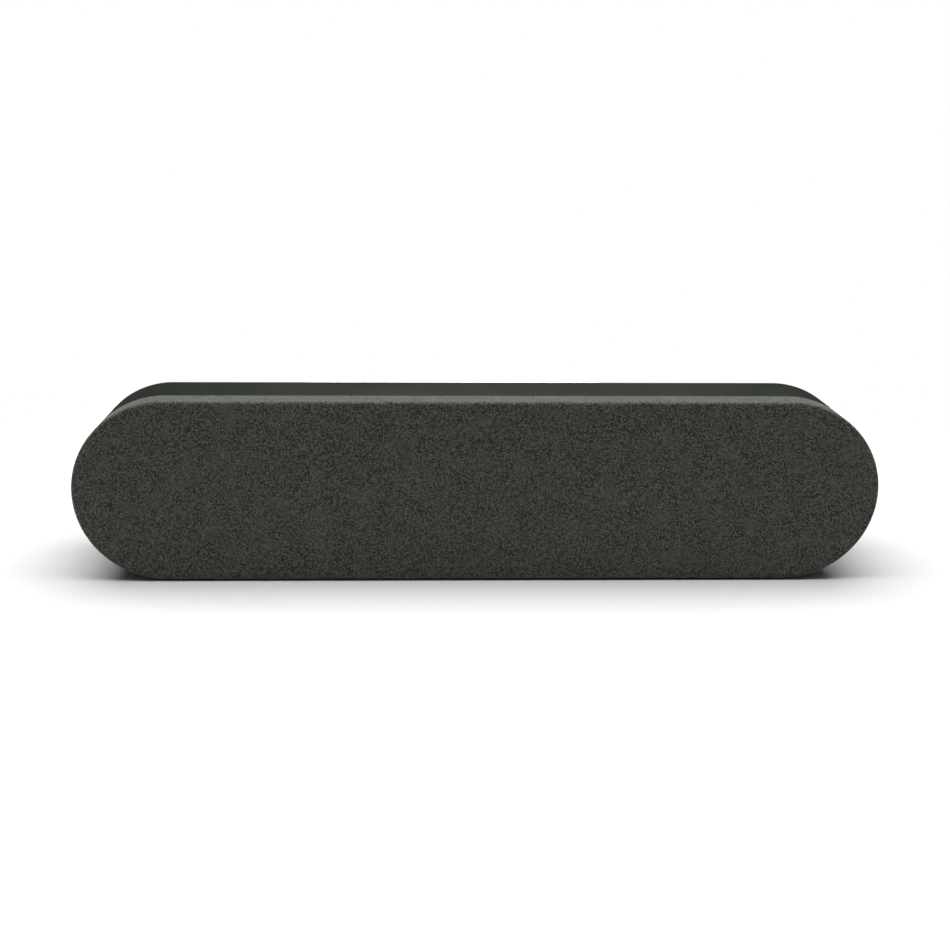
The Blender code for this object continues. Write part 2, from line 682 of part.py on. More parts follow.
def build_moving_parts(side, x):
    """The cone, dust cap and voice coil, and the two flexible rings that centre them."""
    neck = FORMER_RADIUS + 0.7 * MM + GAP
    cone = [
        (CONE_RADIUS - 0.8 * MM, FLANGE_AT),
        (CONE_RADIUS, FLANGE_AT),
        (neck + 0.6 * MM, CONE_NECK_AT),
        (neck, CONE_NECK_AT + 0.4 * MM),
        (neck, CONE_NECK_AT - 1.2 * MM),
    ]
    turned(f"cone_{side}", cone, PAPER_BLACK, x=x)
    surround = roll_profile(CONE_RADIUS + 0.3 * MM, CONE_RADIUS + 5.3 * MM, ROLL_RADIUS, 2.2 * MM)
    turned(f"surround_{side}", surround, RUBBER_BLACK, x=x)
    dome = 13 * MM
    rise = 4.5 * MM
    base_at = 19.4 * MM
    steps = 3
    angles = [math.radians(90) * i / steps for i in range(steps + 1)]
    front = [(dome * math.sin(a), base_at - rise * math.cos(a)) for a in angles]
    back = [((dome - SKIN) * math.sin(a), base_at - (rise - SKIN) * math.cos(a)) for a in reversed(angles)]
    turned(f"dust_cap_{side}", front + back, PAPER_BLACK, x=x)
    former = [
        (FORMER_RADIUS - 0.6 * MM, 20.2 * MM),
        (FORMER_RADIUS, 20.2 * MM),
        (FORMER_RADIUS, 31.5 * MM),
        (FORMER_RADIUS + 0.6 * MM, 31.5 * MM),
        (FORMER_RADIUS + 0.6 * MM, 39.5 * MM),
        (FORMER_RADIUS - 0.6 * MM, 39.5 * MM),
    ]
    turned(f"voice_coil_{side}", former, COPPER, x=x)
    inner, outer = FORMER_RADIUS + 0.9 * MM, 20.4 * MM
    steps = 4
    front = []
    for i in range(steps + 1):
        radius = inner + (outer - inner) * i / steps
        front.append((radius, SPIDER_AT - 0.9 * MM * math.sin(math.pi * i / 2)))
    front.append((24.6 * MM, SPIDER_AT))
    back = [(radius, depth + SKIN) for radius, depth in reversed(front)]
    turned(f"spider_{side}", front + back, TREATED_CLOTH, x=x)


def build_lead(side, x):
    """The pair of wires from the circuit board to the driver, as one sleeved lead along a smooth curve."""
    away = math.copysign(1.0, x)
    start = (away * 66 * MM, 52 * MM, 6 * MM)
    end = (x - away * 27.0 * MM, 30.5 * MM, 3 * MM)
    pull = 22 * MM
    points = []
    steps = 12
    for i in range(steps + 1):
        t = i / steps
        weights = ((1 - t) ** 3, 3 * t * (1 - t) ** 2, 3 * t**2 * (1 - t), t**3)
        leaving = (start[0], start[1] - pull, start[2])
        arriving = (end[0] - away * pull, end[1], end[2])
        handles = (start, leaving, arriving, end)
        points.append([sum(w * h[axis] for w, h in zip(weights, handles)) for axis in range(3)])
    curve = bpy.data.curves.new(f"lead_{side}", "CURVE")
    curve.dimensions = "3D"
    curve.bevel_depth = 1.1 * MM
    curve.bevel_resolution = 1
    curve.use_fill_caps = True
    spline = curve.splines.new("POLY")
    spline.points.add(steps)
    for point, place_of in zip(spline.points, points):
        point.co = (*place_of, 1.0)
    place(f"lead_{side}", curve, LEAD_RED)


# ---- Passive radiator ----------------------------------------------------------------------------------


def build_radiator():
    """The racetrack passive radiator: frame, rolled surround, flat plate and the weight that tunes it."""
    inside, lip = RADIATOR_FRAME_INSIDE, RADIATOR_HOLE - GAP
    frame = [
        (inside, FLANGE_AT),
        (RADIATOR_FLANGE, FLANGE_AT),
        (RADIATOR_FLANGE, FLANGE_BACK_AT),
        (lip, FLANGE_BACK_AT),
        (lip, RADIATOR_LIP_AT),
        (inside, RADIATOR_LIP_AT),
    ]
    stadium("radiator_frame", frame, INNER_BLACK, reach=RADIATOR_REACH)
    roll = roll_profile(RADIATOR_PLATE, inside, RADIATOR_ROLL, 2.2 * MM)
    stadium("radiator_surround", roll, RUBBER_BLACK, reach=RADIATOR_REACH)
    plate_back_at = FLANGE_AT + RADIATOR_PLATE_THICKNESS
    plate = [
        (0.0, FLANGE_AT),
        (RADIATOR_PLATE, FLANGE_AT),
        (RADIATOR_PLATE, plate_back_at),
        (0.0, plate_back_at),
    ]
    stadium("radiator_plate", plate, ALUMINIUM, reach=RADIATOR_REACH)
    weight_at = plate_back_at + GAP
    weight_back_at = weight_at + WEIGHT_THICKNESS
    weight = [
        (0.0, weight_at),
        (WEIGHT_RADIUS, weight_at),
        (WEIGHT_RADIUS, weight_back_at - 1 * MM),
        (WEIGHT_RADIUS - 1 * MM, weight_back_at),
        (0.0, weight_back_at),
    ]
    stadium("radiator_weight", weight, STEEL, reach=WEIGHT_REACH)


# ---- Electronics ---------------------------------------------------------------------------------------


def build_board():
    """The circuit board, staked on four standoffs, with the parts on its front side."""
    board = block("main_board", BOARD_WIDTH, BOARD_HEIGHT, BOARD_AT, BOARD_BACK_AT, BOARD_GREEN)
    cut(board, *rods("board_hole", PIN_RADIUS + GAP, BOARD_AT - 1 * MM, PART_AT, STANDOFF_PLACES))
    sink_back_at = BOARD_AT - GAP
    sink = block("heat_sink", 44 * MM, 36 * MM, sink_back_at - 13 * MM, sink_back_at, ALUMINIUM, x=-30 * MM)
    shape = bmesh.new()
    for i in range(-2, 3):
        middle = i * 8 * MM
        low = (middle - 2.6 * MM, sink_back_at - 14 * MM, -20 * MM)
        high = (middle + 2.6 * MM, sink_back_at - 3 * MM, 20 * MM)
        add_box(shape, low, high)
    cut(sink, place("sink_slots", mesh_from("sink_slots", shape), None, x=-30 * MM))
    can = 7 * MM
    can_at = sink_back_at - 20 * MM
    crimp = [
        (0.0, can_at),
        (can - 0.7 * MM, can_at),
        (can, can_at + 0.7 * MM),
        (can, sink_back_at - 3.5 * MM),
        (can - 0.6 * MM, sink_back_at - 3.0 * MM),
        (can, sink_back_at - 2.5 * MM),
        (can, sink_back_at),
        (0.0, sink_back_at),
    ]
    turned("capacitor", crimp, INNER_BLACK, x=32 * MM, z=AXIS_Z + 8 * MM, steps=SMALL_STEPS)


def build_power_jack():
    """The round power inlet: a body on the board, a nose in the plate and a centre pin in its bore."""
    x = POWER_JACK_X
    jack = block("power_jack", 11 * MM, 10 * MM, PART_AT, SOCKET_BODY_BACK_AT, INNER_BLACK, x=x)
    join(jack, rod("power_nose", POWER_NOSE, SOCKET_BODY_BACK_AT - 1 * MM, SOCKET_BACK_AT, x=x, steps=12))
    cut(jack, rod("power_bore", 2.8 * MM, PART_AT + 3 * MM, PLATE_BACK_AT, x=x, steps=12))
    join(jack, rod("power_pin", 1.0 * MM, PART_AT + 1 * MM, SOCKET_BACK_AT - 1 * MM, x=x, steps=8))


def build_usb_port():
    """The service port: a steel shell with a tongue in its mouth."""
    x = USB_X
    port = block("usb_port", USB_WIDTH, USB_HEIGHT, PART_AT, SOCKET_BACK_AT, STEEL, x=x, corner=1.5 * MM)
    mouth = block("usb_mouth", 8.2 * MM, 2.6 * MM, PART_AT + 4 * MM, PLATE_BACK_AT, x=x, corner=1.1 * MM)
    cut(port, mouth)
    join(port, block("usb_tongue", 6.6 * MM, 0.8 * MM, PART_AT + 3 * MM, SOCKET_BACK_AT - 1 * MM, x=x))


def build_audio_jack():
    """The 3.5 mm audio socket."""
    x = AUDIO_JACK_X
    jack = block("audio_jack", 7 * MM, 6.4 * MM, PART_AT, SOCKET_BODY_BACK_AT, INNER_BLACK, x=x)
    join(jack, rod("audio_nose", AUDIO_NOSE, SOCKET_BODY_BACK_AT - 1 * MM, SOCKET_BACK_AT, x=x, steps=12))
    cut(jack, rod("audio_bore", 1.8 * MM, PART_AT + 2 * MM, PLATE_BACK_AT, x=x))


def build_button():
    """The power button with its retaining collar, and the switch that it presses."""
    face_at = PLATE_BACK_AT + BUTTON_PROUD
    collar = 5.7 * MM
    profile = [
        (0.0, BUTTON_STEM_AT),
        (collar, BUTTON_STEM_AT),
        (collar, PLATE_AT - GAP),
        (BUTTON_RADIUS, PLATE_AT - GAP),
        (BUTTON_RADIUS, face_at - 0.5 * MM),
        (BUTTON_RADIUS - 0.5 * MM, face_at),
        (0.0, face_at - 0.25 * MM),
    ]
    turned("power_button", profile, HOUSING_GREY, x=BUTTON_X, steps=16)
    switch = block("button_switch", 6 * MM, 6 * MM, PART_AT, PART_AT + 3.5 * MM, INNER_BLACK, x=BUTTON_X)
    plunger_back_at = BUTTON_STEM_AT - BUTTON_TRAVEL - GAP
    join(switch, rod("switch_plunger", 1.6 * MM, PART_AT + 2.5 * MM, plunger_back_at, x=BUTTON_X))


def build_plate():
    """The connector plate in its bay, with a hole for each connector, and its two screws."""
    width, height = BAY_WIDTH - 2 * GAP, BAY_HEIGHT - 2 * GAP
    plate = block("connector_plate", width, height, PLATE_AT, PLATE_BACK_AT, INNER_BLACK, corner=4.7 * MM)
    front, back = PLATE_AT - 1 * MM, PLATE_BACK_AT + 1 * MM
    cut(
        plate,
        rod("power_hole", POWER_NOSE + GAP, front, back, x=POWER_JACK_X, steps=12),
        block("usb_hole", USB_WIDTH + 2 * GAP, USB_HEIGHT + 2 * GAP, front, back, x=USB_X, corner=1.7 * MM),
        rod("audio_hole", AUDIO_NOSE + GAP, front, back, x=AUDIO_JACK_X, steps=12),
        rod("lens_hole", LENS_RADIUS + GAP, front, back, x=LENS_X),
        rod("button_hole", BUTTON_RADIUS + GAP, front, back, x=BUTTON_X, steps=16),
        *rods("plate_hole", 1.5 * MM, front, back, [(-PLATE_SCREW_X, 0.0), (PLATE_SCREW_X, 0.0)]),
    )
    rod("status_lens", LENS_RADIUS, PART_AT, PLATE_BACK_AT + 0.3 * MM, LENS_WHITE, x=LENS_X)
    head_at = PLATE_BACK_AT + GAP
    head = 2.6 * MM
    shank = 1.2 * MM
    profile = [
        (0.0, BAY_INNER_AT - 1.5 * MM),
        (shank, BAY_INNER_AT - 0.5 * MM),
        (shank, head_at),
        (head, head_at),
        (head, head_at + 0.8 * MM),
        (head - 0.6 * MM, head_at + 1.4 * MM),
        (1.1 * MM, head_at + 1.4 * MM),
        (0.0, head_at + 0.6 * MM),
    ]
    for side, x in (("left", -PLATE_SCREW_X), ("right", PLATE_SCREW_X)):
        turned(f"plate_screw_{side}", profile, STEEL, x=x, steps=SCREW_STEPS)


# ---- Feet and inserts ----------------------------------------------------------------------------------


def build_feet_and_inserts():
    """Two wedge-shaped rubber feet, and two threaded brass inserts for a wall bracket."""
    insert = [
        (0.0, INSERT_AT),
        (INSERT_RADIUS, INSERT_AT),
        (INSERT_RADIUS, DEPTH - 0.4 * MM),
        (INSERT_BORE, DEPTH - 0.4 * MM),
        (INSERT_BORE, INSERT_AT + 2 * MM),
        (0.0, INSERT_AT + 1.2 * MM),
    ]
    for name, side in (("left", -1), ("right", 1)):
        foot = foot_wedge(f"foot_{name}", RUBBER_BLACK, 0.0, FOOT_SINK - GAP)
        foot.location.x = side * FOOT_X
        turned(f"wall_insert_{name}", insert, BRASS, x=side * INSERT_X, steps=12)


# ---- Assembly ------------------------------------------------------------------------------------------


def main():
    """Builds every piece of the bar."""
    build_cloth()
    build_frame()
    build_housing()
    build_baffle()
    build_screws()
    for side, x in (("left", -DRIVER_X), ("right", DRIVER_X)):
        build_basket(side, x)
        build_motor(side, x)
        build_moving_parts(side, x)
        build_lead(side, x)
    build_radiator()
    build_board()
    build_power_jack()
    build_usb_port()
    build_audio_jack()
    build_button()
    build_plate()
    build_feet_and_inserts()


main()
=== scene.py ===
"""Looks of a compact tabletop soundbar with a cloth front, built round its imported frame.

The bar is a stadium in front view, and nearly every piece on it is a profile of (radius, depth) points
carried round a loop with round corners: a circle, a stadium or a rounded rectangle. Sizes are in
millimetres until a mesh is made. Depth counts from the front face towards the back, and up counts from the
bar's long axis.
"""

from __future__ import annotations

import json
import logging
import math
from dataclasses import dataclass, replace
from enum import Enum
from typing import Sequence

import bmesh
import bpy
import numpy as np
from mathutils import Matrix, Vector

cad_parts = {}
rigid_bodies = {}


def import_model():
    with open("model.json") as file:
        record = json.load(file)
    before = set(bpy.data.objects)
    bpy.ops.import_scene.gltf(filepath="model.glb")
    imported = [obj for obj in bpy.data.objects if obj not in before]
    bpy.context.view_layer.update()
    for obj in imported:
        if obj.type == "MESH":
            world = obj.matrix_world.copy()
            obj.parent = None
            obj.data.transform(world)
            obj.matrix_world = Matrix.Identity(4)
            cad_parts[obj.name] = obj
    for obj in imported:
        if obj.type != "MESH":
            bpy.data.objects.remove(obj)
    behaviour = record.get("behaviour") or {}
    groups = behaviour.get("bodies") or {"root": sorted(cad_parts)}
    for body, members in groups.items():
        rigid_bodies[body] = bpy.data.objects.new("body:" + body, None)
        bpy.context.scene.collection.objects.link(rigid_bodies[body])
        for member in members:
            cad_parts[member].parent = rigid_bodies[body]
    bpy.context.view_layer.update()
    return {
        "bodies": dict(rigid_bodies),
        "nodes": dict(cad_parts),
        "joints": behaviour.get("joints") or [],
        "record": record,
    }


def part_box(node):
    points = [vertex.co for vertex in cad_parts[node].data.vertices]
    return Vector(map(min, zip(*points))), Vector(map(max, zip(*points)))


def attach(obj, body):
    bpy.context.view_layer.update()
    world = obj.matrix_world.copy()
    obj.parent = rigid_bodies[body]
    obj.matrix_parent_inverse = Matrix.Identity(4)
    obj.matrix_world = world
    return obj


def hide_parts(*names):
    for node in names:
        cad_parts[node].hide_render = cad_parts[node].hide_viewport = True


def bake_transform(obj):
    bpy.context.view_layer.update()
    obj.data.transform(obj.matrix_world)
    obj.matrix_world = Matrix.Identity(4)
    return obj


LOG = logging.getLogger("soundbar")
MM = 0.001
SMOOTH_UP_TO = math.radians(32)
MERGE_WITHIN = 0.002 * MM
GAP = 0.3
ORIGIN = (0.0, 0.0, 0.0)
MID_DEPTH = 40.0
SIDES = ("left", "right")
QUARTERS = ((-1, -1), (-1, 1), (1, -1), (1, 1))

Corner = tuple[float, float] | tuple[float, float, float]
Pair = tuple[float, float]
Spot = Sequence[float]
Colour = tuple[float, float, float]
Piece = bpy.types.Object
Tree = bpy.types.NodeTree
Node = bpy.types.Node
Socket = bpy.types.NodeSocket


# ---- Places read from the frame ----


@dataclass(frozen=True)
class Place:
    """The box of one or more frame nodes, in millimetres.

    x is the middle along the bar, up the middle's height over the bar's axis, and front and back are
    depths.
    """

    x: float
    up: float
    front: float
    back: float
    width: float
    height: float

    @property
    def radius(self) -> float:
        """Half the box's height, which is the radius of a round piece and of a stadium's ends."""
        return self.height / 2

    @property
    def reach(self) -> float:
        """How far from the middle a stadium's end centres stand."""
        return (self.width - self.height) / 2

    @property
    def middle(self) -> tuple[float, float, float]:
        """The middle at depth 0."""
        return self.x, 0.0, self.up


@dataclass(frozen=True)
class Datum:
    """The bar's own axes within the frame: the front face's Y and the height of the long axis."""

    front_y: float
    axis_z: float

    @classmethod
    def from_frame(cls) -> Datum:
        """The datum, from the box of the cloth front."""
        low, high = (np.array(corner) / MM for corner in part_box("front_cloth"))
        return cls(float(low[1]), float(low[2] + high[2]) / 2)

    def of(self, *nodes: str) -> Place:
        """The place of the named nodes, taken together."""
        corners = np.array([[list(corner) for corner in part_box(node)] for node in nodes]) / MM
        low, high = corners[:, 0].min(axis=0), corners[:, 1].max(axis=0)
        return Place(
            x=float(low[0] + high[0]) / 2,
            up=float(low[2] + high[2]) / 2 - self.axis_z,
            front=float(low[1]) - self.front_y,
            back=float(high[1]) - self.front_y,
            width=float(high[0] - low[0]),
            height=float(high[2] - low[2]),
        )

    def to_frame(self, points: np.ndarray) -> np.ndarray:
        """Points given as (x, depth, up) in millimetres, moved to the frame's axes and into metres."""
        return (points + np.array([0.0, self.front_y, self.axis_z])) * MM


# ---- Profiles and loops ----


def arc(centre: Pair, radius: float, start: float, end: float, steps: int) -> np.ndarray:
    """Points on a circular arc: the centre plus the radius times (cos, sin) of an evenly running angle.

    Args:
        centre: (radius, depth) of the arc's centre.
        radius: the arc's own radius.
        start: first angle in degrees, where 0 points outwards and 90 to the back.
        end: last angle in degrees.
        steps: number of stretches.

    Returns:
        An array of steps + 1 (radius, depth) points.
    """
    angle = np.radians(np.linspace(start, end, steps + 1))
    return np.stack([centre[0] + radius * np.cos(angle), centre[1] + radius * np.sin(angle)], axis=1)


def rounded(corners: Sequence[Corner], steps: int = 4) -> np.ndarray:
    """A polyline with its corners rounded.

    A corner gives way to a quadratic curve, which leaves the incoming side at the corner's rounding and
    meets the outgoing side as far on: (1-t)^2 times its first point, 2t(1-t) times the corner and t^2 times
    its last point. The two ends, and a corner without a rounding, stay sharp.

    Args:
        corners: (radius, depth) of each corner, and its rounding where it has one.
        steps: stretches in each rounding.

    Returns:
        An array of (radius, depth) points.
    """
    sharp = np.array([(*corner, 0.0)[:3] for corner in corners], float)
    t = np.linspace(0, 1, steps + 1)[:, None]
    made = []
    for i, (place, rounding) in enumerate(zip(sharp[:, :2], sharp[:, 2])):
        if rounding == 0 or i in (0, len(sharp) - 1):
            made.append(place[None])
            continue
        before, after = sharp[i - 1, :2] - place, sharp[i + 1, :2] - place
        first = place + before / np.linalg.norm(before) * rounding
        last = place + after / np.linalg.norm(after) * rounding
        made.append((1 - t) ** 2 * first + 2 * t * (1 - t) * place + t**2 * last)
    return np.concatenate(made)


def straight(radius: float, front: float, back: float) -> np.ndarray:
    """A straight side: two points at one radius."""
    return np.array([[radius, front], [radius, back]])


def slab(corner: float, into: float, front: float, back: float, edges: Pair, steps: int = 4) -> np.ndarray:
    """Side of a slab: a straight wall between a rounded front edge and a rounded back edge.

    Args:
        corner: radius of the wall.
        into: how far each face's last stretch goes in from the wall.
        front: depth of the front face.
        back: depth of the back face.
        edges: rounding of the front edge and of the back edge.
        steps: stretches in each rounding.

    Returns:
        An array of (radius, depth) points, from the front face to the back face.
    """
    first, last = (corner, front, edges[0]), (corner, back, edges[1])
    return rounded([(corner - into, front), first, last, (corner - into, back)], steps)


@dataclass(frozen=True)
class Loop:
    """A closed path with four round corners, whose centres stand reach_x and reach_up from its middle.

    With both reaches 0 it is a circle, and with reach_up 0 a stadium.
    """

    reach_x: float = 0.0
    reach_up: float = 0.0
    corner_steps: int = 16
    straight_steps: int = 1

    @classmethod
    def box(cls, width: float, height: float, corner: float, steps: int) -> Loop:
        """The path of a rounded rectangle's corner centres."""
        return cls(width / 2 - corner, height / 2 - corner, steps)

    def spine(self) -> tuple[np.ndarray, np.ndarray, np.ndarray]:
        """The corner centre and the outward angle at each point of the path.

        The angle runs through a quarter turn in each corner and stands still on each straight.

        Returns:
            Arrays of the corner centre's x, its height, and the angle.
        """
        places = np.array([(1, -1), (1, 1), (-1, 1), (-1, -1)]) * (self.reach_x, self.reach_up)
        along = np.linspace(0, 1, self.straight_steps + 1)[1:-1, None]
        rows = []
        for i, (corner, following) in enumerate(zip(places, np.roll(places, -1, axis=0))):
            turn = np.radians(np.linspace(-90 + 90 * i, 90 * i, self.corner_steps + 1))
            rows.append(np.column_stack([np.broadcast_to(corner, (len(turn), 2)), turn]))
            between = corner + along * (following - corner)
            rows.append(np.column_stack([between, np.full(len(along), turn[-1])]))
        path = np.concatenate(rows)
        tip = np.column_stack([path[:, 0], path[:, 1], np.cos(path[:, 2]), np.sin(path[:, 2])])
        moved = np.abs(tip - np.roll(tip, -1, axis=0)).sum(axis=1) > 1e-6
        return tuple(path[moved].T)

    def carry(self, profile: np.ndarray, middle: Spot = ORIGIN) -> np.ndarray:
        """A profile carried round the path: corner centre plus radius times the outward direction.

        Args:
            profile: (radius, depth) points.
            middle: where the path's middle goes, as (x, depth, up).

        Returns:
            An array of (path points, profile points, 3) places.
        """
        x, up, angle = (row[:, None] for row in self.spine())
        radius, depth = profile[None, :, 0], profile[None, :, 1]
        places = np.broadcast_arrays(x + radius * np.cos(angle), depth, up + radius * np.sin(angle))
        return np.stack(places, axis=2) + np.array(middle, float)


def grid_faces(rows: int, columns: int, ring: bool) -> np.ndarray:
    """Quads between neighbouring points of a grid whose rows run round a closed path.

    Args:
        rows: number of points round the path.
        columns: number of points along the profile.
        ring: whether the profile's last point joins its first.

    Returns:
        An array of (faces, 4) vertex numbers.
    """
    row, column = np.mgrid[:rows, : columns if ring else columns - 1]
    after, beside = (row + 1) % rows * columns, (column + 1) % columns
    row = row * columns
    return np.stack([row + column, after + column, after + beside, row + beside], axis=2).reshape(-1, 4)


# ---- Meshes ----


def shaded(mesh: bpy.types.Mesh) -> bpy.types.Mesh:
    """The mesh, shaded smooth except over sharp edges."""
    mesh.shade_smooth()
    mesh.set_sharp_from_angle(angle=SMOOTH_UP_TO)
    return mesh


def in_scene(name: str, data: bpy.types.ID) -> Piece:
    """A new object in the scene for a mesh, a light or a camera."""
    obj = bpy.data.objects.new(name, data)
    bpy.context.scene.collection.objects.link(obj)
    return obj


def shown(name: str, mesh: bpy.types.Mesh) -> Piece:
    """An object in the scene for a finished mesh, with its shading."""
    return in_scene(name, shaded(mesh))


def merge(mesh: bpy.types.Mesh, thin_out: bool = False) -> None:
    """Joins vertices that coincide and turns the faces outwards, after leaving out slivers if asked to."""
    shape = bmesh.new()
    shape.from_mesh(mesh)
    bmesh.ops.remove_doubles(shape, verts=shape.verts, dist=MERGE_WITHIN)
    if thin_out:
        bmesh.ops.dissolve_degenerate(shape, edges=shape.edges, dist=MERGE_WITHIN / 2)
    bmesh.ops.recalc_face_normals(shape, faces=shape.faces)
    shape.to_mesh(mesh)
    shape.free()


def normals(path: np.ndarray) -> tuple[np.ndarray, np.ndarray]:
    """Two directions square to a path at each of its points, the first of them level."""
    along = np.gradient(path, axis=0)
    along /= np.linalg.norm(along, axis=1, keepdims=True)
    first = np.cross(along, [0.0, 0.0, 1.0])
    first /= np.linalg.norm(first, axis=1, keepdims=True)
    return first, np.cross(along, first)


@dataclass(frozen=True)
class Maker:
    """Turns points into mesh objects that stand in the frame's axes."""

    datum: Datum

    def piece(self, name: str, points: np.ndarray, faces: Sequence[Sequence[int]]) -> Piece:
        """A mesh object from (x, depth, up) points and faces, merged, closed outwards and shaded.

        Args:
            name: the piece's name.
            points: places in millimetres.
            faces: vertex numbers of each face.

        Returns:
            The object, at the origin.
        """
        mesh = bpy.data.meshes.new(name)
        mesh.from_pydata(self.datum.to_frame(points.reshape(-1, 3)), [], faces)
        merge(mesh, thin_out=True)
        return shown(name, mesh)

    def grid(self, name: str, points: np.ndarray, ring: bool = False, capped: bool = False) -> Piece:
        """A piece from a grid whose rows run round a closed path.

        Args:
            name: the piece's name.
            points: (path points, profile points, 3) places.
            ring: whether the profile's last point joins its first.
            capped: whether a flat face closes each end of the profile.

        Returns:
            The piece.
        """
        rows, columns = points.shape[:2]
        faces = grid_faces(rows, columns, ring).tolist()
        if capped:
            faces += [[i * columns + end for i in range(rows)] for end in (0, columns - 1)]
        return self.piece(name, points, faces)

    def carried(self, name: str, profile: np.ndarray, loop: Loop, middle: Spot = ORIGIN) -> Piece:
        """A piece from a profile carried round a loop.

        A profile that starts on radius 0 also ends there and closes itself. Any other one is a ring.

        Args:
            name: the piece's name.
            profile: (radius, depth) points.
            loop: the path.
            middle: where the loop's middle goes, as (x, depth, up).

        Returns:
            The piece.
        """
        return self.grid(name, loop.carry(profile, middle), ring=bool(profile[0, 0] > 1e-6))

    def turned(self, name: str, profile: np.ndarray, steps: int, middle: Spot = ORIGIN) -> Piece:
        """A profile turned about an axis along the depth."""
        return self.carried(name, profile, Loop(corner_steps=steps), middle)

    def prism(self, name: str, profile: np.ndarray, loop: Loop, middle: Spot = ORIGIN) -> Piece:
        """A piece whose side is a profile carried round a loop, with a flat face at each end."""
        return self.grid(name, loop.carry(profile, middle), capped=True)

    def bar(self, name: str, radius: float, front: float, back: float, x: float, up: float) -> Piece:
        """A plain round bar along the depth, used to cut or to fill a hole."""
        return self.prism(name, straight(radius, front, back), Loop(corner_steps=10), (x, 0.0, up))

    def tube(self, name: str, path: np.ndarray, radius: float, sides: int = 10) -> Piece:
        """A round tube along a path.

        Round each point stands a ring: the point plus the radius times cos of an angle along one normal and
        sin of it along the other. The normals come from the path's direction and a fixed upright.

        Args:
            name: the piece's name.
            path: (x, depth, up) points.
            radius: the tube's radius.
            sides: points in each ring.

        Returns:
            The piece, closed with a fan at each end.
        """
        first, second = normals(path)
        angle = np.linspace(0, 2 * np.pi, sides, endpoint=False)[:, None, None]
        rings = path + radius * (np.cos(angle) * first + np.sin(angle) * second)
        ends = np.broadcast_to(path[[0, -1]], (sides, 2, 3))
        return self.grid(name, np.concatenate([ends[:, :1], rings, ends[:, 1:]], axis=1))


def mesh_points(obj: Piece) -> np.ndarray:
    """The mesh's vertices, in metres."""
    points = np.empty(len(obj.data.vertices) * 3, np.float32)
    obj.data.vertices.foreach_get("co", points)
    return points.reshape(-1, 3)


def joined(name: str, parts: Sequence[Piece]) -> Piece:
    """One object that holds the meshes of several, which are removed."""
    shape = bmesh.new()
    for part in parts:
        shape.from_mesh(part.data)
        bpy.data.objects.remove(part)
    mesh = bpy.data.meshes.new(name)
    shape.to_mesh(mesh)
    shape.free()
    return shown(name, mesh)


def repeated(part: Piece, offsets: Sequence[Spot]) -> Piece:
    """The part's mesh set down again at each offset, in millimetres, all in one mesh."""
    points = mesh_points(part)
    faces = [list(face.vertices) for face in part.data.polygons]
    every = points[None] + np.array(offsets, float)[:, None, :] * MM
    mesh = bpy.data.meshes.new(part.name)
    count = len(points)
    shifted = [[v + i * count for v in face] for i in range(len(offsets)) for face in faces]
    mesh.from_pydata(every.reshape(-1, 3), [], shifted)
    part.data = shaded(mesh)
    return part


def shaped(piece: Piece, operation: str, *tools: Piece) -> Piece:
    """The piece after each tool's shape was taken away from it or added to it. The tools are removed.

    Args:
        piece: the piece to change.
        operation: DIFFERENCE or UNION.
        tools: closed meshes.

    Returns:
        The piece, with its new mesh.
    """
    for tool in tools:
        modifier = piece.modifiers.new("shape", "BOOLEAN")
        modifier.object = tool
        modifier.operation = operation
        modifier.solver = "EXACT"
    mesh = bpy.data.meshes.new_from_object(piece.evaluated_get(bpy.context.evaluated_depsgraph_get()))
    piece.modifiers.clear()
    piece.data = shaded(mesh)
    for tool in tools:
        bpy.data.objects.remove(tool)
    return piece


def dress(piece: Piece, finish: "Finish", nodes: Sequence[str] = (), body: str | None = "cabinet") -> Piece:
    """Gives a piece its finish, and says which body it rides on and which frame nodes it stands for.

    Args:
        piece: the piece.
        finish: its finish.
        nodes: frame nodes that it is shown instead of.
        body: the body, or None for a piece that is put on no body.

    Returns:
        The piece.
    """
    piece.data.materials.clear()
    piece.data.materials.append(finish.material())
    if nodes:
        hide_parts(*nodes)
    if body:
        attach(piece, body)
    LOG.info("%s on %s, %d faces", piece.name, body or "two bodies", len(piece.data.polygons))
    return piece


# ---- Shader effects ----


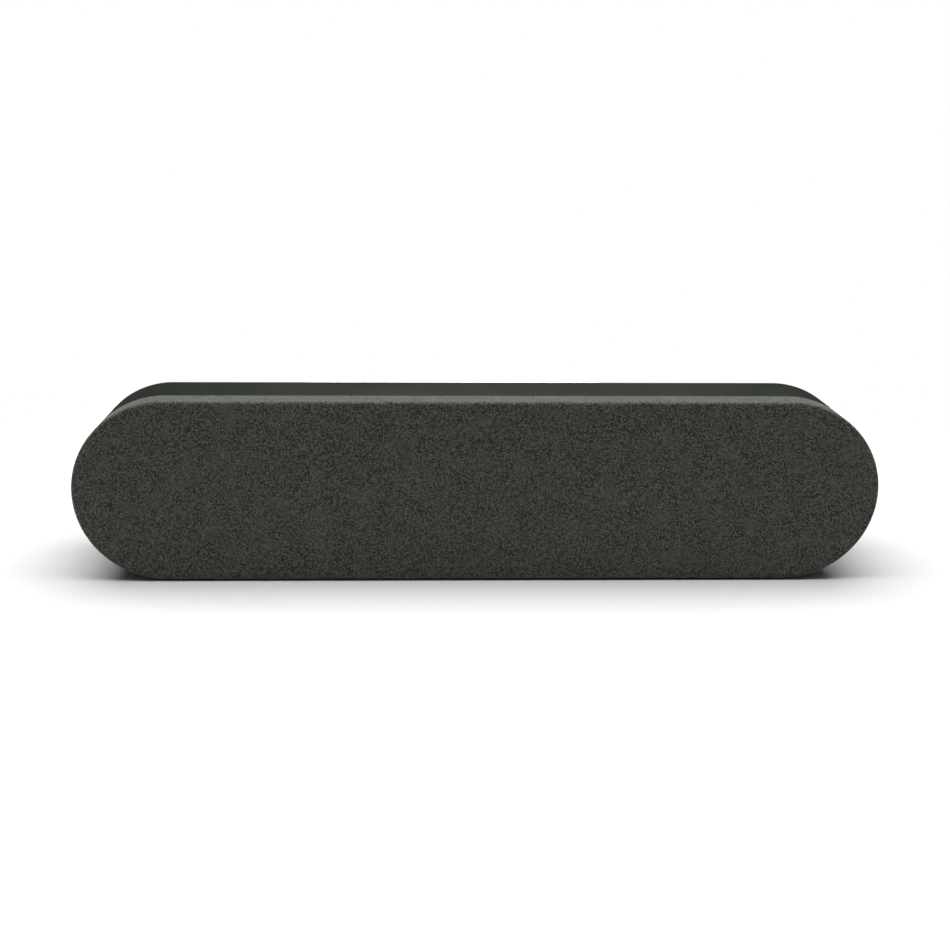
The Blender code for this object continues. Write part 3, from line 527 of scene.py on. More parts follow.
class Wiring:
    """A node tree under construction, with short ways to add and join nodes."""

    def __init__(self, tree: Tree) -> None:
        """Starts on a node tree."""
        self.tree = tree

    def node(self, kind: str, inputs: dict | None = None, **settings: object) -> Node:
        """Adds a node.

        Args:
            kind: the node's type, without ShaderNode.
            inputs: a constant or an output socket for each named or numbered input.
            settings: the node's own properties.

        Returns:
            The node.
        """
        made = self.tree.nodes.new(kind if kind.startswith("Node") else f"ShaderNode{kind}")
        for name, value in settings.items():
            setattr(made, name, value)
        for name, value in (inputs or {}).items():
            self.feed(made.inputs[name], value)
        return made

    def feed(self, socket: Socket, value: object) -> None:
        """Links an output to a socket, or sets the socket's constant."""
        if isinstance(value, Socket):
            self.tree.links.new(value, socket)
        else:
            socket.default_value = value

    def math(self, operation: str, *values: object, clamp: bool = False) -> Socket:
        """The result of a Math node."""
        made = self.node("Math", dict(enumerate(values)), operation=operation, use_clamp=clamp)
        return made.outputs[0]

    def ramp(self, value: object, low: float, high: float, to: Pair = (0.0, 1.0)) -> Socket:
        """A value carried smoothly from one range to another, and held at its ends."""
        inputs = {"Value": value, 1: low, 2: high, 3: to[0], 4: to[1]}
        return self.node("MapRange", inputs, interpolation_type="SMOOTHSTEP").outputs[0]

    def mix(self, share: object, first: object, second: object, how: str = "MIX") -> Socket:
        """Two colours mixed by a share."""
        colours = [(*value, 1.0) if isinstance(value, tuple) else value for value in (first, second)]
        made = self.node("Mix", {0: share, 6: colours[0], 7: colours[1]}, data_type="RGBA", blend_type=how)
        return made.outputs[2]

    def noise(self, vector: object, size: object, detail: float = 2.0, rough: float = 0.5) -> Socket:
        """Noise whose blotches are about size metres across."""
        scale = self.math("DIVIDE", 1.0, size) if isinstance(size, Socket) else 1.0 / size
        inputs = {"Vector": vector, "Scale": scale, "Detail": detail, "Roughness": rough}
        return self.node("TexNoise", inputs).outputs["Fac"]


def new_material(name: str) -> tuple[bpy.types.Material, Wiring, Node, Socket]:
    """A new material, its wiring, its Principled BSDF and the object coordinates."""
    material = bpy.data.materials.new(name)
    material.use_nodes = True
    wiring = Wiring(material.node_tree)
    shader = wiring.tree.nodes["Principled BSDF"]
    return material, wiring, shader, wiring.node("TexCoord").outputs["Object"]


def effect(name: str, inputs: dict[str, object], outputs: Sequence[str]) -> tuple[Wiring, dict, Node]:
    """A new node group with named sockets.

    Args:
        name: the group's name.
        inputs: each input's default value, or None for a vector.
        outputs: names of the float outputs.

    Returns:
        The group's wiring, its input sockets by name, and its output node.
    """
    group = bpy.data.node_groups.new(name, "ShaderNodeTree")
    for title, value in inputs.items():
        kind = "NodeSocketVector" if value is None else "NodeSocketFloat"
        socket = group.interface.new_socket(title, in_out="INPUT", socket_type=kind)
        if value is not None:
            socket.default_value = value
    for title in outputs:
        group.interface.new_socket(title, in_out="OUTPUT", socket_type="NodeSocketFloat")
    wiring = Wiring(group)
    entry = wiring.node("NodeGroupInput")
    return wiring, {title: entry.outputs[title] for title in inputs}, wiring.node("NodeGroupOutput")


def put_out(wiring: Wiring, out: Node, **values: Socket) -> Tree:
    """Links each value to the group output of its name, and gives back the finished group."""
    for title, value in values.items():
        wiring.feed(out.inputs[title], value)
    return wiring.tree


def mottle_effect() -> Tree:
    """Mottle: broad blotches over fine grain, as a value round 0.5 and as a height of the grain alone."""
    inputs = {"Vector": None, "Blotch": 0.02, "Grain": 0.0005}
    wiring, given, out = effect("mottle", inputs, ("Value", "Height"))
    broad = wiring.noise(given["Vector"], given["Blotch"], detail=3.0)
    fine = wiring.noise(given["Vector"], given["Grain"], detail=2.0, rough=0.6)
    value = wiring.math("MULTIPLY_ADD", fine, 0.35, wiring.math("MULTIPLY", broad, 0.65))
    return put_out(wiring, out, Value=value, Height=fine)


def wear_effect() -> Tree:
    """Edge wear: a mask on convex edges, broken up by noise."""
    wiring, given, out = effect("edge_wear", {"Vector": None, "Amount": 0.5}, ("Mask",))
    edge = wiring.ramp(wiring.node("NewGeometry").outputs["Pointiness"], 0.52, 0.62)
    patches = wiring.ramp(wiring.noise(given["Vector"], 0.004, detail=4.0, rough=0.7), 0.35, 0.7)
    mask = wiring.math("MULTIPLY", wiring.math("MULTIPLY", edge, patches), given["Amount"], clamp=True)
    return put_out(wiring, out, Mask=mask)


def dust_effect() -> Tree:
    """Dust: a mask on faces that look up, thicker in patches and made of fine specks."""
    wiring, given, out = effect("dust", {"Vector": None, "Amount": 0.1}, ("Mask",))
    normal = wiring.node("NewGeometry").outputs["Normal"]
    upward = wiring.ramp(wiring.node("SeparateXYZ", {0: normal}).outputs["Z"], 0.2, 1.0)
    patches = wiring.ramp(wiring.noise(given["Vector"], 0.03, detail=4.0), 0.3, 0.75)
    specks = wiring.ramp(wiring.noise(given["Vector"], 0.0006, detail=1.0), 0.5, 0.72)
    lying = wiring.math("MULTIPLY", upward, wiring.math("MULTIPLY_ADD", specks, 0.7, patches))
    return put_out(wiring, out, Mask=wiring.math("MULTIPLY", lying, given["Amount"], clamp=True))


def weave_effect() -> Tree:
    """Weave: plain-woven threads at a pitch, running along the first two axes of the vector.

    A thread's height is the sine of its place across it, and the two sets of threads take turns on top in a
    chequer: the first is up where the sum of the cell numbers is even. Outputs the height of the upper
    thread, a random tone that runs a long way along each thread, another for each crossing, and a mask of
    the gaps between threads, where painted shade goes.
    """
    outputs = ("Height", "Tone", "Fleck", "Gap")
    wiring, given, out = effect("weave", {"Vector": None, "Pitch": 0.0008}, outputs)
    place = wiring.node("SeparateXYZ", {0: given["Vector"]})
    wander = wiring.noise(given["Vector"], 0.006, detail=2.0)
    cells, ridges = [], []
    for axis in ("X", "Y"):
        across = wiring.math("DIVIDE", place.outputs[axis], given["Pitch"])
        across = wiring.math("MULTIPLY_ADD", wander, 1.6, across)
        cells.append(wiring.math("FLOOR", across))
        half_turn = wiring.math("MULTIPLY", across, math.pi)
        ridges.append(wiring.math("ABSOLUTE", wiring.math("SINE", half_turn)))
    turn = wiring.math("MODULO", wiring.math("ABSOLUTE", wiring.math("ADD", *cells)), 2.0)
    tones = []
    for across, along in ((0, 1), (1, 0)):
        stretch = [0.37, 0.37]
        stretch[along] = 0.1
        cell = wiring.node("CombineXYZ", {0: cells[0], 1: cells[1], 2: float(across) * 7.3})
        scaled = wiring.node("VectorMath", {0: cell.outputs[0], 1: (*stretch, 1.0)}, operation="MULTIPLY")
        tones.append(wiring.noise(scaled.outputs[0], 1.0 / 3.0, detail=3.0, rough=0.8))
    height = wiring.node("Mix", {0: turn, 2: ridges[0], 3: ridges[1]}).outputs[0]
    tone = wiring.node("Mix", {0: turn, 2: tones[0], 3: tones[1]}).outputs[0]
    crossing = wiring.node("CombineXYZ", {0: cells[0], 1: cells[1], 2: 0.0}).outputs[0]
    fleck = wiring.node("TexWhiteNoise", {"Vector": crossing}).outputs["Value"]
    # Mask of the gaps between threads, where painted shade goes.
    gap_shade = wiring.ramp(wiring.math("MAXIMUM", *ridges), 0.75, 0.35)
    return put_out(wiring, out, Height=height, Tone=tone, Fleck=fleck, Gap=gap_shade)


def lathe_effect() -> Tree:
    """Lathe marks: fine rings round an axis along Y, as the noise of the distance to the axis."""
    wiring, given, out = effect("lathe", {"Vector": None, "Pitch": 0.0003}, ("Value",))
    place = wiring.node("SeparateXYZ", {0: given["Vector"]})
    flat = wiring.node("CombineXYZ", {0: place.outputs["X"], 1: place.outputs["Z"], 2: 0.0})
    distance = wiring.node("VectorMath", {0: flat.outputs[0]}, operation="LENGTH").outputs["Value"]
    ring = wiring.node("CombineXYZ", {0: distance, 1: 0.0, 2: 0.0})
    return put_out(wiring, out, Value=wiring.noise(ring.outputs[0], given["Pitch"], detail=3.0, rough=0.7))


class Effect(Enum):
    """The shader effects that finishes share, each made once."""

    MOTTLE = "mottle", mottle_effect
    WEAR = "edge_wear", wear_effect
    DUST = "dust", dust_effect
    WEAVE = "weave", weave_effect
    LATHE = "lathe", lathe_effect

    def group(self) -> Tree:
        """The effect's node group."""
        title, make = self.value
        return bpy.data.node_groups.get(title) or make()

    def add(self, wiring: Wiring, inputs: dict[str, object]) -> dict[str, Socket]:
        """Puts the effect into a material.

        Args:
            wiring: the material's wiring.
            inputs: values or sockets for the effect's inputs.

        Returns:
            The effect's outputs by name.
        """
        made = wiring.node("Group", node_tree=self.group())
        for title, value in inputs.items():
            wiring.feed(made.inputs[title], value)
        return {socket.name: socket for socket in made.outputs}


# ---- Finishes ----

DUST_GREY = (0.32, 0.31, 0.29)
# Near black that the cloth finishes paint into the gaps between threads, as painted shade.
GAP_SHADE = (0.006, 0.006, 0.006)


@dataclass(frozen=True)
class Finish:
    """A mottled, slightly grained surface, with worn edges and dust on its upper faces.

    Lengths here are in metres: the blotch and grain sizes and the depth of the grain. The roughness varies
    by the uneven share to either side.
    """

    slot: str
    dark: Colour
    light: Colour
    roughness: float
    metallic: float = 0.0
    blotch: float = 0.02
    grain: float = 0.0004
    relief: float = 0.00003
    worn: Colour = (0.1, 0.1, 0.1)
    wear: float = 0.0
    dust: float = 0.0
    uneven: float = 0.12
    centre: tuple[float, float, float] = (0.0, 0.0, 0.0)
    variant: str = ""

    @property
    def name(self) -> str:
        """The material's name: the slot, the variant, and the centre of the pattern off the origin."""
        marks = [f"{value:.3f}" for value in self.centre if value]
        return "_".join([self.slot, "finish", *filter(None, [self.variant]), *marks])

    def material(self) -> bpy.types.Material:
        """The finish's material, made on first use."""
        found = bpy.data.materials.get(self.name)
        if found:
            return found
        material, wiring, shader, object_place = new_material(self.name)
        shift = tuple(-value for value in self.centre)
        place = wiring.node("Mapping", {"Vector": object_place, "Location": shift}).outputs[0]
        self.wire(wiring, shader, place)
        return material

    def wire(self, wiring: Wiring, shader: Node, place: Socket) -> None:
        """Feeds the shader.

        Args:
            wiring: the material's wiring.
            shader: its Principled BSDF.
            place: object coordinates round the pattern's centre.
        """
        mottle = self.mottle(wiring, place)
        self.cover(wiring, shader, place, mottle["Value"], mottle["Height"])

    def raise_by(self, wiring: Wiring, shader: Node, height: Socket) -> None:
        """Gives the shader the finish's relief from a height."""
        bump = wiring.node("Bump", {"Strength": 1.0, "Distance": self.relief, "Height": height})
        wiring.feed(shader.inputs["Normal"], bump.outputs[0])

    def mottle(self, wiring: Wiring, place: Socket) -> dict[str, Socket]:
        """The mottle effect with the finish's blotch and grain."""
        return Effect.MOTTLE.add(wiring, {"Vector": place, "Blotch": self.blotch, "Grain": self.grain})

    def over_mottle(self, wiring: Wiring, place: Socket, pattern: Socket) -> Socket:
        """Equal shares of a pattern and the mottle."""
        mottle = self.mottle(wiring, place)["Value"]
        return wiring.math("MULTIPLY_ADD", pattern, 0.5, wiring.math("MULTIPLY", mottle, 0.5))

    def cover(self, wiring: Wiring, shader: Node, place: Socket, value: Socket, height: Socket) -> None:
        """Colour, roughness and relief from a value round 0.5 and a height, under the wear and the dust.

        Args:
            wiring: the material's wiring.
            shader: its Principled BSDF.
            place: object coordinates round the pattern's centre.
            value: mixes the dark and the light colour.
            height: drives the relief.
        """
        share = wiring.ramp(value, 0.3, 0.7)
        colour = wiring.mix(share, self.dark, self.light)
        low, high = self.roughness * (1 - self.uneven), min(1.0, self.roughness * (1 + self.uneven))
        rough = wiring.ramp(value, 0.25, 0.75, (low, high))
        if self.wear:
            worn = Effect.WEAR.add(wiring, {"Vector": place, "Amount": self.wear})["Mask"]
            colour = wiring.mix(worn, colour, self.worn)
        if self.dust:
            dust = Effect.DUST.add(wiring, {"Vector": place, "Amount": self.dust})["Mask"]
            colour = wiring.mix(dust, colour, DUST_GREY)
            rough = wiring.math("MULTIPLY_ADD", dust, 0.3, rough)
        wiring.feed(shader.inputs["Base Color"], colour)
        wiring.feed(shader.inputs["Roughness"], rough)
        shader.inputs["Metallic"].default_value = self.metallic
        self.raise_by(wiring, shader, height)


@dataclass(frozen=True)
class Plastic(Finish):
    """Moulded plastic: a fine spark-eroded grain and a soft gloss."""

    specular: float = 0.5

    def wire(self, wiring: Wiring, shader: Node, place: Socket) -> None:
        """Adds the specular level to the mottled surface."""
        super().wire(wiring, shader, place)
        shader.inputs["Specular IOR Level"].default_value = self.specular


@dataclass(frozen=True)
class Machined(Finish):
    """Turned or rolled metal: lathe rings round the centre instead of blotches."""

    pitch: float = 0.0003

    def wire(self, wiring: Wiring, shader: Node, place: Socket) -> None:
        """Mixes the rings with a little mottle."""
        rings = Effect.LATHE.add(wiring, {"Vector": place, "Pitch": self.pitch})["Value"]
        self.cover(wiring, shader, place, self.over_mottle(wiring, place, rings), rings)


@dataclass(frozen=True)
class Woven(Finish):
    """Woven cloth of melange yarn, with the weave laid along the piece's own unrolled coordinates."""

    pitch: float = 0.0008
    tint: Colour = (0.1, 0.08, 0.07)
    second_tint: Colour = (0.08, 0.1, 0.07)
    sheen: float = 0.3
    unrolled: bool = True

    def wire(self, wiring: Wiring, shader: Node, place: Socket) -> None:
        """Weave, tone of each thread, loose fibres, faint blotches of colour, and painted shade between
        threads.
        """
        flat = wiring.node("UVMap", uv_map="unrolled").outputs[0] if self.unrolled else place
        weave = Effect.WEAVE.add(wiring, {"Vector": flat, "Pitch": self.pitch})
        mottle = self.mottle(wiring, flat)
        melange = wiring.ramp(weave["Tone"], 0.3, 0.7)
        fibres = wiring.ramp(mottle["Height"], 0.38, 0.64)
        value = wiring.math("MULTIPLY_ADD", melange, 0.25, wiring.math("MULTIPLY", fibres, 0.35))
        value = wiring.math("MULTIPLY_ADD", weave["Fleck"], 0.4, value)
        colour = wiring.mix(wiring.ramp(value, 0.18, 0.86), self.dark, self.light)
        for shift, tint in (((0.0, 0.0, 1.0), self.tint), ((0.0, 0.0, 5.0), self.second_tint)):
            moved = wiring.node("VectorMath", {0: flat, 1: shift}, operation="ADD").outputs[0]
            patch = wiring.ramp(wiring.noise(moved, self.blotch * 0.8, detail=3.0), 0.45, 0.75, (0.0, 0.3))
            colour = wiring.mix(patch, colour, tint)
        # Painted shade: the gaps between threads are darkened towards near black.
        colour = wiring.mix(wiring.math("MULTIPLY", weave["Gap"], 0.75), colour, GAP_SHADE)
        wiring.feed(shader.inputs["Base Color"], colour)
        wiring.feed(shader.inputs["Roughness"], wiring.ramp(fibres, 0.0, 1.0, (self.roughness, 1.0)))
        shader.inputs["Specular IOR Level"].default_value = 0.2
        shader.inputs["Sheen Weight"].default_value = self.sheen
        shader.inputs["Sheen Roughness"].default_value = 0.5
        height = wiring.math("MULTIPLY_ADD", fibres, 0.35, weave["Height"])
        self.raise_by(wiring, shader, height)


@dataclass(frozen=True)
class Laminate(Finish):
    """Circuit board: a solder mask over copper tracks, which show as slightly raised paler lines."""

    track: float = 0.0018

    def wire(self, wiring: Wiring, shader: Node, place: Socket) -> None:
        """Tracks are the borders of square-metric cells."""
        turned = wiring.node("Mapping", {"Vector": place, "Scale": (1.0, 0.0, 1.0)}).outputs[0]
        inputs = {"Vector": turned, "Scale": 0.3 / self.track}
        cells = wiring.node("TexVoronoi", inputs, distance="CHEBYCHEV", feature="F1")
        bands = wiring.math("FRACT", wiring.math("MULTIPLY", cells.outputs["Distance"], 5.0))
        track = wiring.math("GREATER_THAN", bands, 0.62)
        self.cover(wiring, shader, place, self.over_mottle(wiring, place, track), track)


@dataclass(frozen=True)
class Glow(Finish):
    """A translucent lens, clear enough to look lit from within."""

    def wire(self, wiring: Wiring, shader: Node, place: Socket) -> None:
        """A little light of its own over the mottled surface."""
        super().wire(wiring, shader, place)
        shader.inputs["Emission Color"].default_value = (0.8, 0.9, 1.0, 1.0)
        shader.inputs["Emission Strength"].default_value = 0.15
        shader.inputs["Coat Weight"].default_value = 0.5


CLOTH = Woven(
    "front_cloth", (0.004, 0.0042, 0.0034), (0.1225, 0.123, 0.103), 0.85, blotch=0.014, grain=0.001,
    pitch=0.00088, relief=0.00012, sheen=0.28,
)
SHELL = Plastic(
    "housing", (0.0052, 0.0084, 0.0052), (0.0064, 0.0098, 0.0064), 0.32, blotch=0.03, relief=0.000012,
    wear=0.25, worn=(0.07, 0.075, 0.07), dust=0.012, uneven=0.04, specular=0.16,
)
INNER = Plastic("inner_plastic", (0.011, 0.011, 0.012), (0.017, 0.017, 0.018), 0.55, wear=0.08, dust=0.03)
RUBBER = Plastic("rubber", (0.008,) * 3, (0.014,) * 3, 0.75, relief=0.00004, specular=0.35)
FOAM = Plastic(
    "foam", (0.04, 0.04, 0.043), (0.075, 0.075, 0.08), 0.95, grain=0.0007, relief=0.0003, specular=0.1
)
PAPER = Plastic(
    "cone_paper", (0.012, 0.012, 0.013), (0.028, 0.028, 0.029), 0.8, blotch=0.006, grain=0.0005,
    relief=0.0001, specular=0.3,
)
SPIDER_CLOTH = Woven(
    "spider_cloth", (0.36, 0.2, 0.06), (0.5, 0.31, 0.11), 0.8, pitch=0.0009, sheen=0.1,
    tint=(0.4, 0.22, 0.08), second_tint=(0.5, 0.3, 0.1), unrolled=False,
)
COPPER = Finish("coil", (0.5, 0.2, 0.09), (0.68, 0.3, 0.15), 0.35, metallic=1.0)
STEEL = Machined(
    "steel", (0.44, 0.44, 0.45), (0.58, 0.58, 0.59), 0.32, metallic=1.0, wear=0.2, worn=(0.7, 0.7, 0.7)
)
BLACK_STEEL = Finish(
    "black_steel", (0.018, 0.018, 0.019), (0.03, 0.03, 0.032), 0.42, metallic=0.6, wear=0.15,
    worn=(0.2, 0.2, 0.2),
)
FERRITE = Finish(
    "ferrite", (0.04, 0.04, 0.043), (0.07, 0.07, 0.073), 0.6, grain=0.0003, wear=0.4,
    worn=(0.13, 0.13, 0.13),
)
ALUMINIUM = Finish("aluminium", (0.5, 0.51, 0.52), (0.66, 0.67, 0.68), 0.36, metallic=1.0, grain=0.0002)
BRASS = Machined("brass", (0.6, 0.43, 0.17), (0.76, 0.57, 0.26), 0.3, metallic=1.0)
BOARD = Laminate("board", (0.012, 0.075, 0.032), (0.03, 0.15, 0.07), 0.4, relief=0.00008)
LENS = Glow("lens", (0.7, 0.75, 0.76), (0.78, 0.83, 0.84), 0.2)
LEAD = Plastic("lead", (0.33, 0.02, 0.014), (0.42, 0.032, 0.02), 0.45)
LEAD_BLACK = Plastic("lead", (0.01,) * 3, (0.016,) * 3, 0.45, variant="black")


# ---- Outline of the bar ----


@dataclass(frozen=True)
class Outline:
    """The bar's outside: a rounded front edge, an evenly sloping side and a large back radius."""

    end_radius: float
    end_reach: float
    depth: float
    front_round: float = 1.6
    back_round: float = 20.0
    slope: float = 5.5 / 57.5
    cover_depth: float = 20.0

    @classmethod
    def from_frame(cls, datum: Datum) -> Outline:
        """The outline whose size is that of the cloth front and the housing."""
        cloth, housing = datum.of("front_cloth"), datum.of("housing")
        return cls(cloth.radius, cloth.reach, housing.back)

    def side(self, depth: float, inset: float = 0.0) -> float:
        """Radius of the side at a depth, moved in by the inset."""
        return self.end_radius - self.slope * (depth - self.front_round) - inset

    def front_edge(self, inset: float, steps: int = 10) -> np.ndarray:
        """The front edge's arc from the front face to the side, moved in by the inset."""
        centre = (self.end_radius - self.front_round, self.front_round)
        return arc(centre, self.front_round - inset, -90, 0, steps)

    def back_edge(self, inset: float, steps: int = 18) -> np.ndarray:
        """The back edge's arc from the sloping side to the back face, moved in by the inset."""
        start = math.degrees(math.atan(self.slope))
        touch = self.depth - self.back_round + self.back_round * math.sin(math.radians(start))
        centre = self.side(touch) - self.back_round * math.cos(math.radians(start))
        return arc((centre, self.depth - self.back_round), self.back_round - inset, start, 90, steps)

    def loop(self, corner_steps: int = 40) -> Loop:
        """The stadium that the outline follows."""
        return Loop(self.end_reach, corner_steps=corner_steps)


def lay_out(cloth: Piece, lengths: np.ndarray, loop: Loop) -> None:
    """Gives a carried cloth its unrolled coordinates, in metres.

    A point's coordinates are its corner centre plus the length along the profile times the outward
    direction, so that the weave runs straight over the front and turns down the sides as cloth does.

    Args:
        cloth: a mesh whose vertices still are the carried grid's.
        lengths: length along the profile at each of its points.
        loop: the path that it was carried round.
    """
    x, up, angle = (row[:, None] for row in loop.spine())
    flat = np.stack([x + lengths * np.cos(angle), up + lengths * np.sin(angle)], axis=2).reshape(-1, 2) * MM
    corners = np.empty(len(cloth.data.loops), np.int32)
    cloth.data.loops.foreach_get("vertex_index", corners)
    layer = cloth.data.uv_layers.new(name="unrolled")
    layer.data.foreach_set("uv", flat[corners].astype(np.float32).ravel())


# ---- Front cover ----

PEG_PLACES = ((-93.5, 0), (93.5, 0), (-195.5, -24), (-195.5, 24), (195.5, -24), (195.5, 24))


@dataclass(frozen=True)
class FrontCover:
    """The pull-off front: cloth stretched over a moulded frame, glued round the frame's back edge."""

    maker: Maker
    outline: Outline
    cloth: float = 0.9
    hem: float = 0.45
    hem_width: float = 2.2
    frame_inset: float = 1.2
    frame_wall: float = 2.0
    plate: float = 2.2
    slot_width: float = 12.0
    slot_pitch: float = 17.0
    slot_reach: float = 38.0
    slot_corner: float = 1.5
    slots_a_side: int = 12
    peg_radius: float = 2.4
    peg_places: Sequence[Pair] = PEG_PLACES

    def profile(self) -> np.ndarray:
        """Section of the cloth: outer face, rounded turn at the cover's back edge, hem, and inner face."""
        outline = self.outline
        back = outline.cover_depth
        side = outline.side(back)
        hem_front = back - self.hem
        turn = rounded([
            (outline.side(back - 4.0), back - 4.0), (side, back, 0.6),
            (side - self.cloth - self.hem_width, back, 0.2),
            (side - self.cloth - self.hem_width, hem_front, 0.2),
            (outline.side(hem_front, self.cloth), hem_front),
        ], steps=5)
        along = np.linspace(0.0, outline.end_radius - outline.front_round, 26)[:-1]
        face = np.column_stack([along, np.zeros_like(along)])
        back_face = np.array([[0.0, self.cloth]])
        inner = outline.front_edge(self.cloth)[::-1]
        return np.concatenate([face, outline.front_edge(0.0), turn, inner, back_face])

    def make_cloth(self) -> Piece:
        """The cloth as a closed thin shell, with its unrolled coordinates."""
        profile = self.profile()
        loop = Loop(self.outline.end_reach, corner_steps=40, straight_steps=60)
        grid = loop.carry(profile)
        mesh = bpy.data.meshes.new("front_cloth_weave")
        faces = grid_faces(*grid.shape[:2], ring=False)
        mesh.from_pydata(self.maker.datum.to_frame(grid.reshape(-1, 3)), [], faces.tolist())
        cloth = shown("front_cloth_weave", mesh)
        steps = np.linalg.norm(np.diff(profile, axis=0), axis=1)
        lay_out(cloth, np.concatenate([[0.0], np.cumsum(steps)]), loop)
        merge(mesh)
        return cloth

    def frame_profile(self) -> np.ndarray:
        """Section of the frame: plate, rounded front edge, and a rim with a softened back edge."""
        outline = self.outline
        rim, plate_back = self.frame_inset + self.frame_wall, self.frame_inset + self.plate
        back = outline.cover_depth - 0.6
        rest = rounded([
            (outline.side(back - 3.0, self.frame_inset), back - 3.0),
            (outline.side(back, self.frame_inset), back, 0.4), (outline.side(back, rim), back, 0.4),
            (outline.side(plate_back, rim), plate_back, 1.2),
            (outline.side(plate_back, rim) - 6.0, plate_back),
        ])
        edge = outline.front_edge(self.frame_inset)
        return np.concatenate([[[0.0, self.frame_inset]], edge, rest, [[0.0, plate_back]]])

    def slots(self) -> list[Piece]:
        """Tools for the upright slots, shorter where the bar's ends turn in.

        Past the end centre, half a slot's height is that of a circle at the slot's outer side.
        """
        tools = []
        side = straight(self.slot_corner, 0.0, self.frame_inset + self.plate + 1.0)
        for i in range(-self.slots_a_side, self.slots_a_side + 1):
            x = i * self.slot_pitch
            past_end = max(0.0, abs(x) + self.slot_width / 2 - self.outline.end_reach)
            half = math.sqrt(self.slot_reach**2 - past_end**2)
            loop = Loop(self.slot_width / 2 - self.slot_corner, half - self.slot_corner, 4)
            tools.append(self.maker.prism("slot", side, loop, (x, 0.0, 0.0)))
        return tools

    def make_frame(self) -> Piece:
        """The moulded frame, with its slots and the pegs that snap into the baffle."""
        frame = self.maker.carried("cover_frame", self.frame_profile(), self.outline.loop(24))
        shaped(frame, "DIFFERENCE", joined("slots", self.slots()))
        tip = self.maker.datum.of("grille_frame").back
        peg = rounded([
            (0.0, 2.2), (self.peg_radius, 2.2), (self.peg_radius, tip - 3.4, 0.3),
            (self.peg_radius - 0.5, tip - 2.8, 0.3), (self.peg_radius, tip - 1.8, 0.4),
            (self.peg_radius - 0.9, tip, 0.6), (0.0, tip),
        ])
        pegs = [self.maker.turned("peg", peg, 8, (x, 0.0, up)) for x, up in self.peg_places]
        return shaped(frame, "UNION", *pegs)

    def cut_length(self) -> float:
        """Length of cloth from the spine to its glued edge."""
        back = self.outline.cover_depth
        side = self.outline.side(back)
        glued = [[side, back], [side - self.cloth - self.hem_width, back]]
        outside = np.concatenate([[[0.0, 0.0]], self.outline.front_edge(0.0), glued])
        return float(np.linalg.norm(np.diff(outside, axis=0), axis=1).sum())

    def build(self) -> None:
        """Makes the frame and the cloth, which reaches the glued edge, and works out the cloth's cut length.
        """
        frame = dress(self.make_frame(), INNER, ["grille_frame"], "front_cover")
        cloth = dress(self.make_cloth(), CLOTH, ["front_cloth"], "front_cover")
        length = self.cut_length() * MM


# ---- Housing ----


@dataclass(frozen=True)
class Bay:
    """The connector bay in the back wall: a rounded rectangle with a flared mouth, and its window."""

    width: float = 100.0
    height: float = 34.0
    corner: float = 5.0
    floor: float = 68.7
    flare: float = 1.2
    window_width: float = 80.0
    window_height: float = 22.0
    shell: float = 3.0
    inner: float = 66.0

    def loop(self, corner_steps: int = 10) -> Loop:
        """The bay's outline."""
        return Loop.box(self.width, self.height, self.corner, corner_steps)

    def hollow(self, maker: Maker, back: float) -> Piece:
        """The tool that opens the bay: its side flares out over the last stretch to the back face."""
        mouth = arc((self.corner + self.flare, back - self.flare), self.flare, 180, 90, 6)
        floor = [[self.corner - 0.6, self.floor], [self.corner, self.floor + 0.6]]
        past = [[self.corner + self.flare, back + 1.0]]
        return maker.prism("bay_hollow", np.concatenate([floor, mouth, past]), self.loop())

    def window(self, maker: Maker) -> Piece:
        """The tool that opens the wall behind the connector plate."""
        corner = 2.0
        loop = Loop.box(self.window_width, self.window_height, corner, 6)
        return maker.prism("bay_window", straight(corner, self.inner - 1.0, self.floor + 1.0), loop)

    def inside(self, maker: Maker, wall_at: float) -> Piece:
        """The bay's walls within the cabinet, as a filled block that reaches into the back wall."""
        side = self.corner + self.shell
        profile = rounded([(side - 1.0, self.inner), (side, self.inner, 0.8), (side, wall_at)])
        return maker.prism("bay_shell", profile, self.loop())


@dataclass(frozen=True)
class Foot:
    """A rubber wedge between the sloping underside and the table."""

    outline: Outline
    place: Place
    corner: float = 8.0
    edge: float = 1.0
    sunk: float = 0.7

    def solid(self, maker: Maker, name: str, clearance: float, sink: float) -> Piece:
        """The wedge: a rounded rectangle in plan, drawn from the table up to the underside.

        The top's height at a depth is that of the underside there. The bottom edge is a quarter circle.

        Args:
            maker: makes the mesh.
            name: the piece's name.
            clearance: how far the sides are moved out.
            sink: how far the top goes into the underside.

        Returns:
            The piece. With a clearance it reaches below the table, as a tool does.
        """
        place, corner = self.place, self.corner
        middle = (place.back + place.front) / 2
        loop = Loop.box(place.width, place.back - place.front, corner, 12)
        x, along, angle = (row[:, None] for row in loop.spine())
        table = place.up - place.height / 2
        if clearance:
            side, up = np.array([corner + clearance] * 2), np.array([table - 1.0, 0.0])
        else:
            turn = np.radians(np.linspace(-90, 0, 6))
            side = np.append(corner - self.edge + self.edge * np.cos(turn), corner)
            up = np.append(table + self.edge + self.edge * np.sin(turn), 0.0)
        depth = middle + along + side * np.sin(angle)
        places = np.broadcast_arrays(place.x + x + side * np.cos(angle), depth, up)
        grid = np.stack(places, axis=2)
        grid[:, -1, 2] = sink - self.outline.side(grid[:, -1, 1])
        return maker.grid(name, grid, capped=True)

    def build(self, maker: Maker, node: str) -> None:
        """Makes the foot that the frame node stands for."""
        dress(self.solid(maker, f"{node}_pad", 0.0, self.sunk), RUBBER, [node])


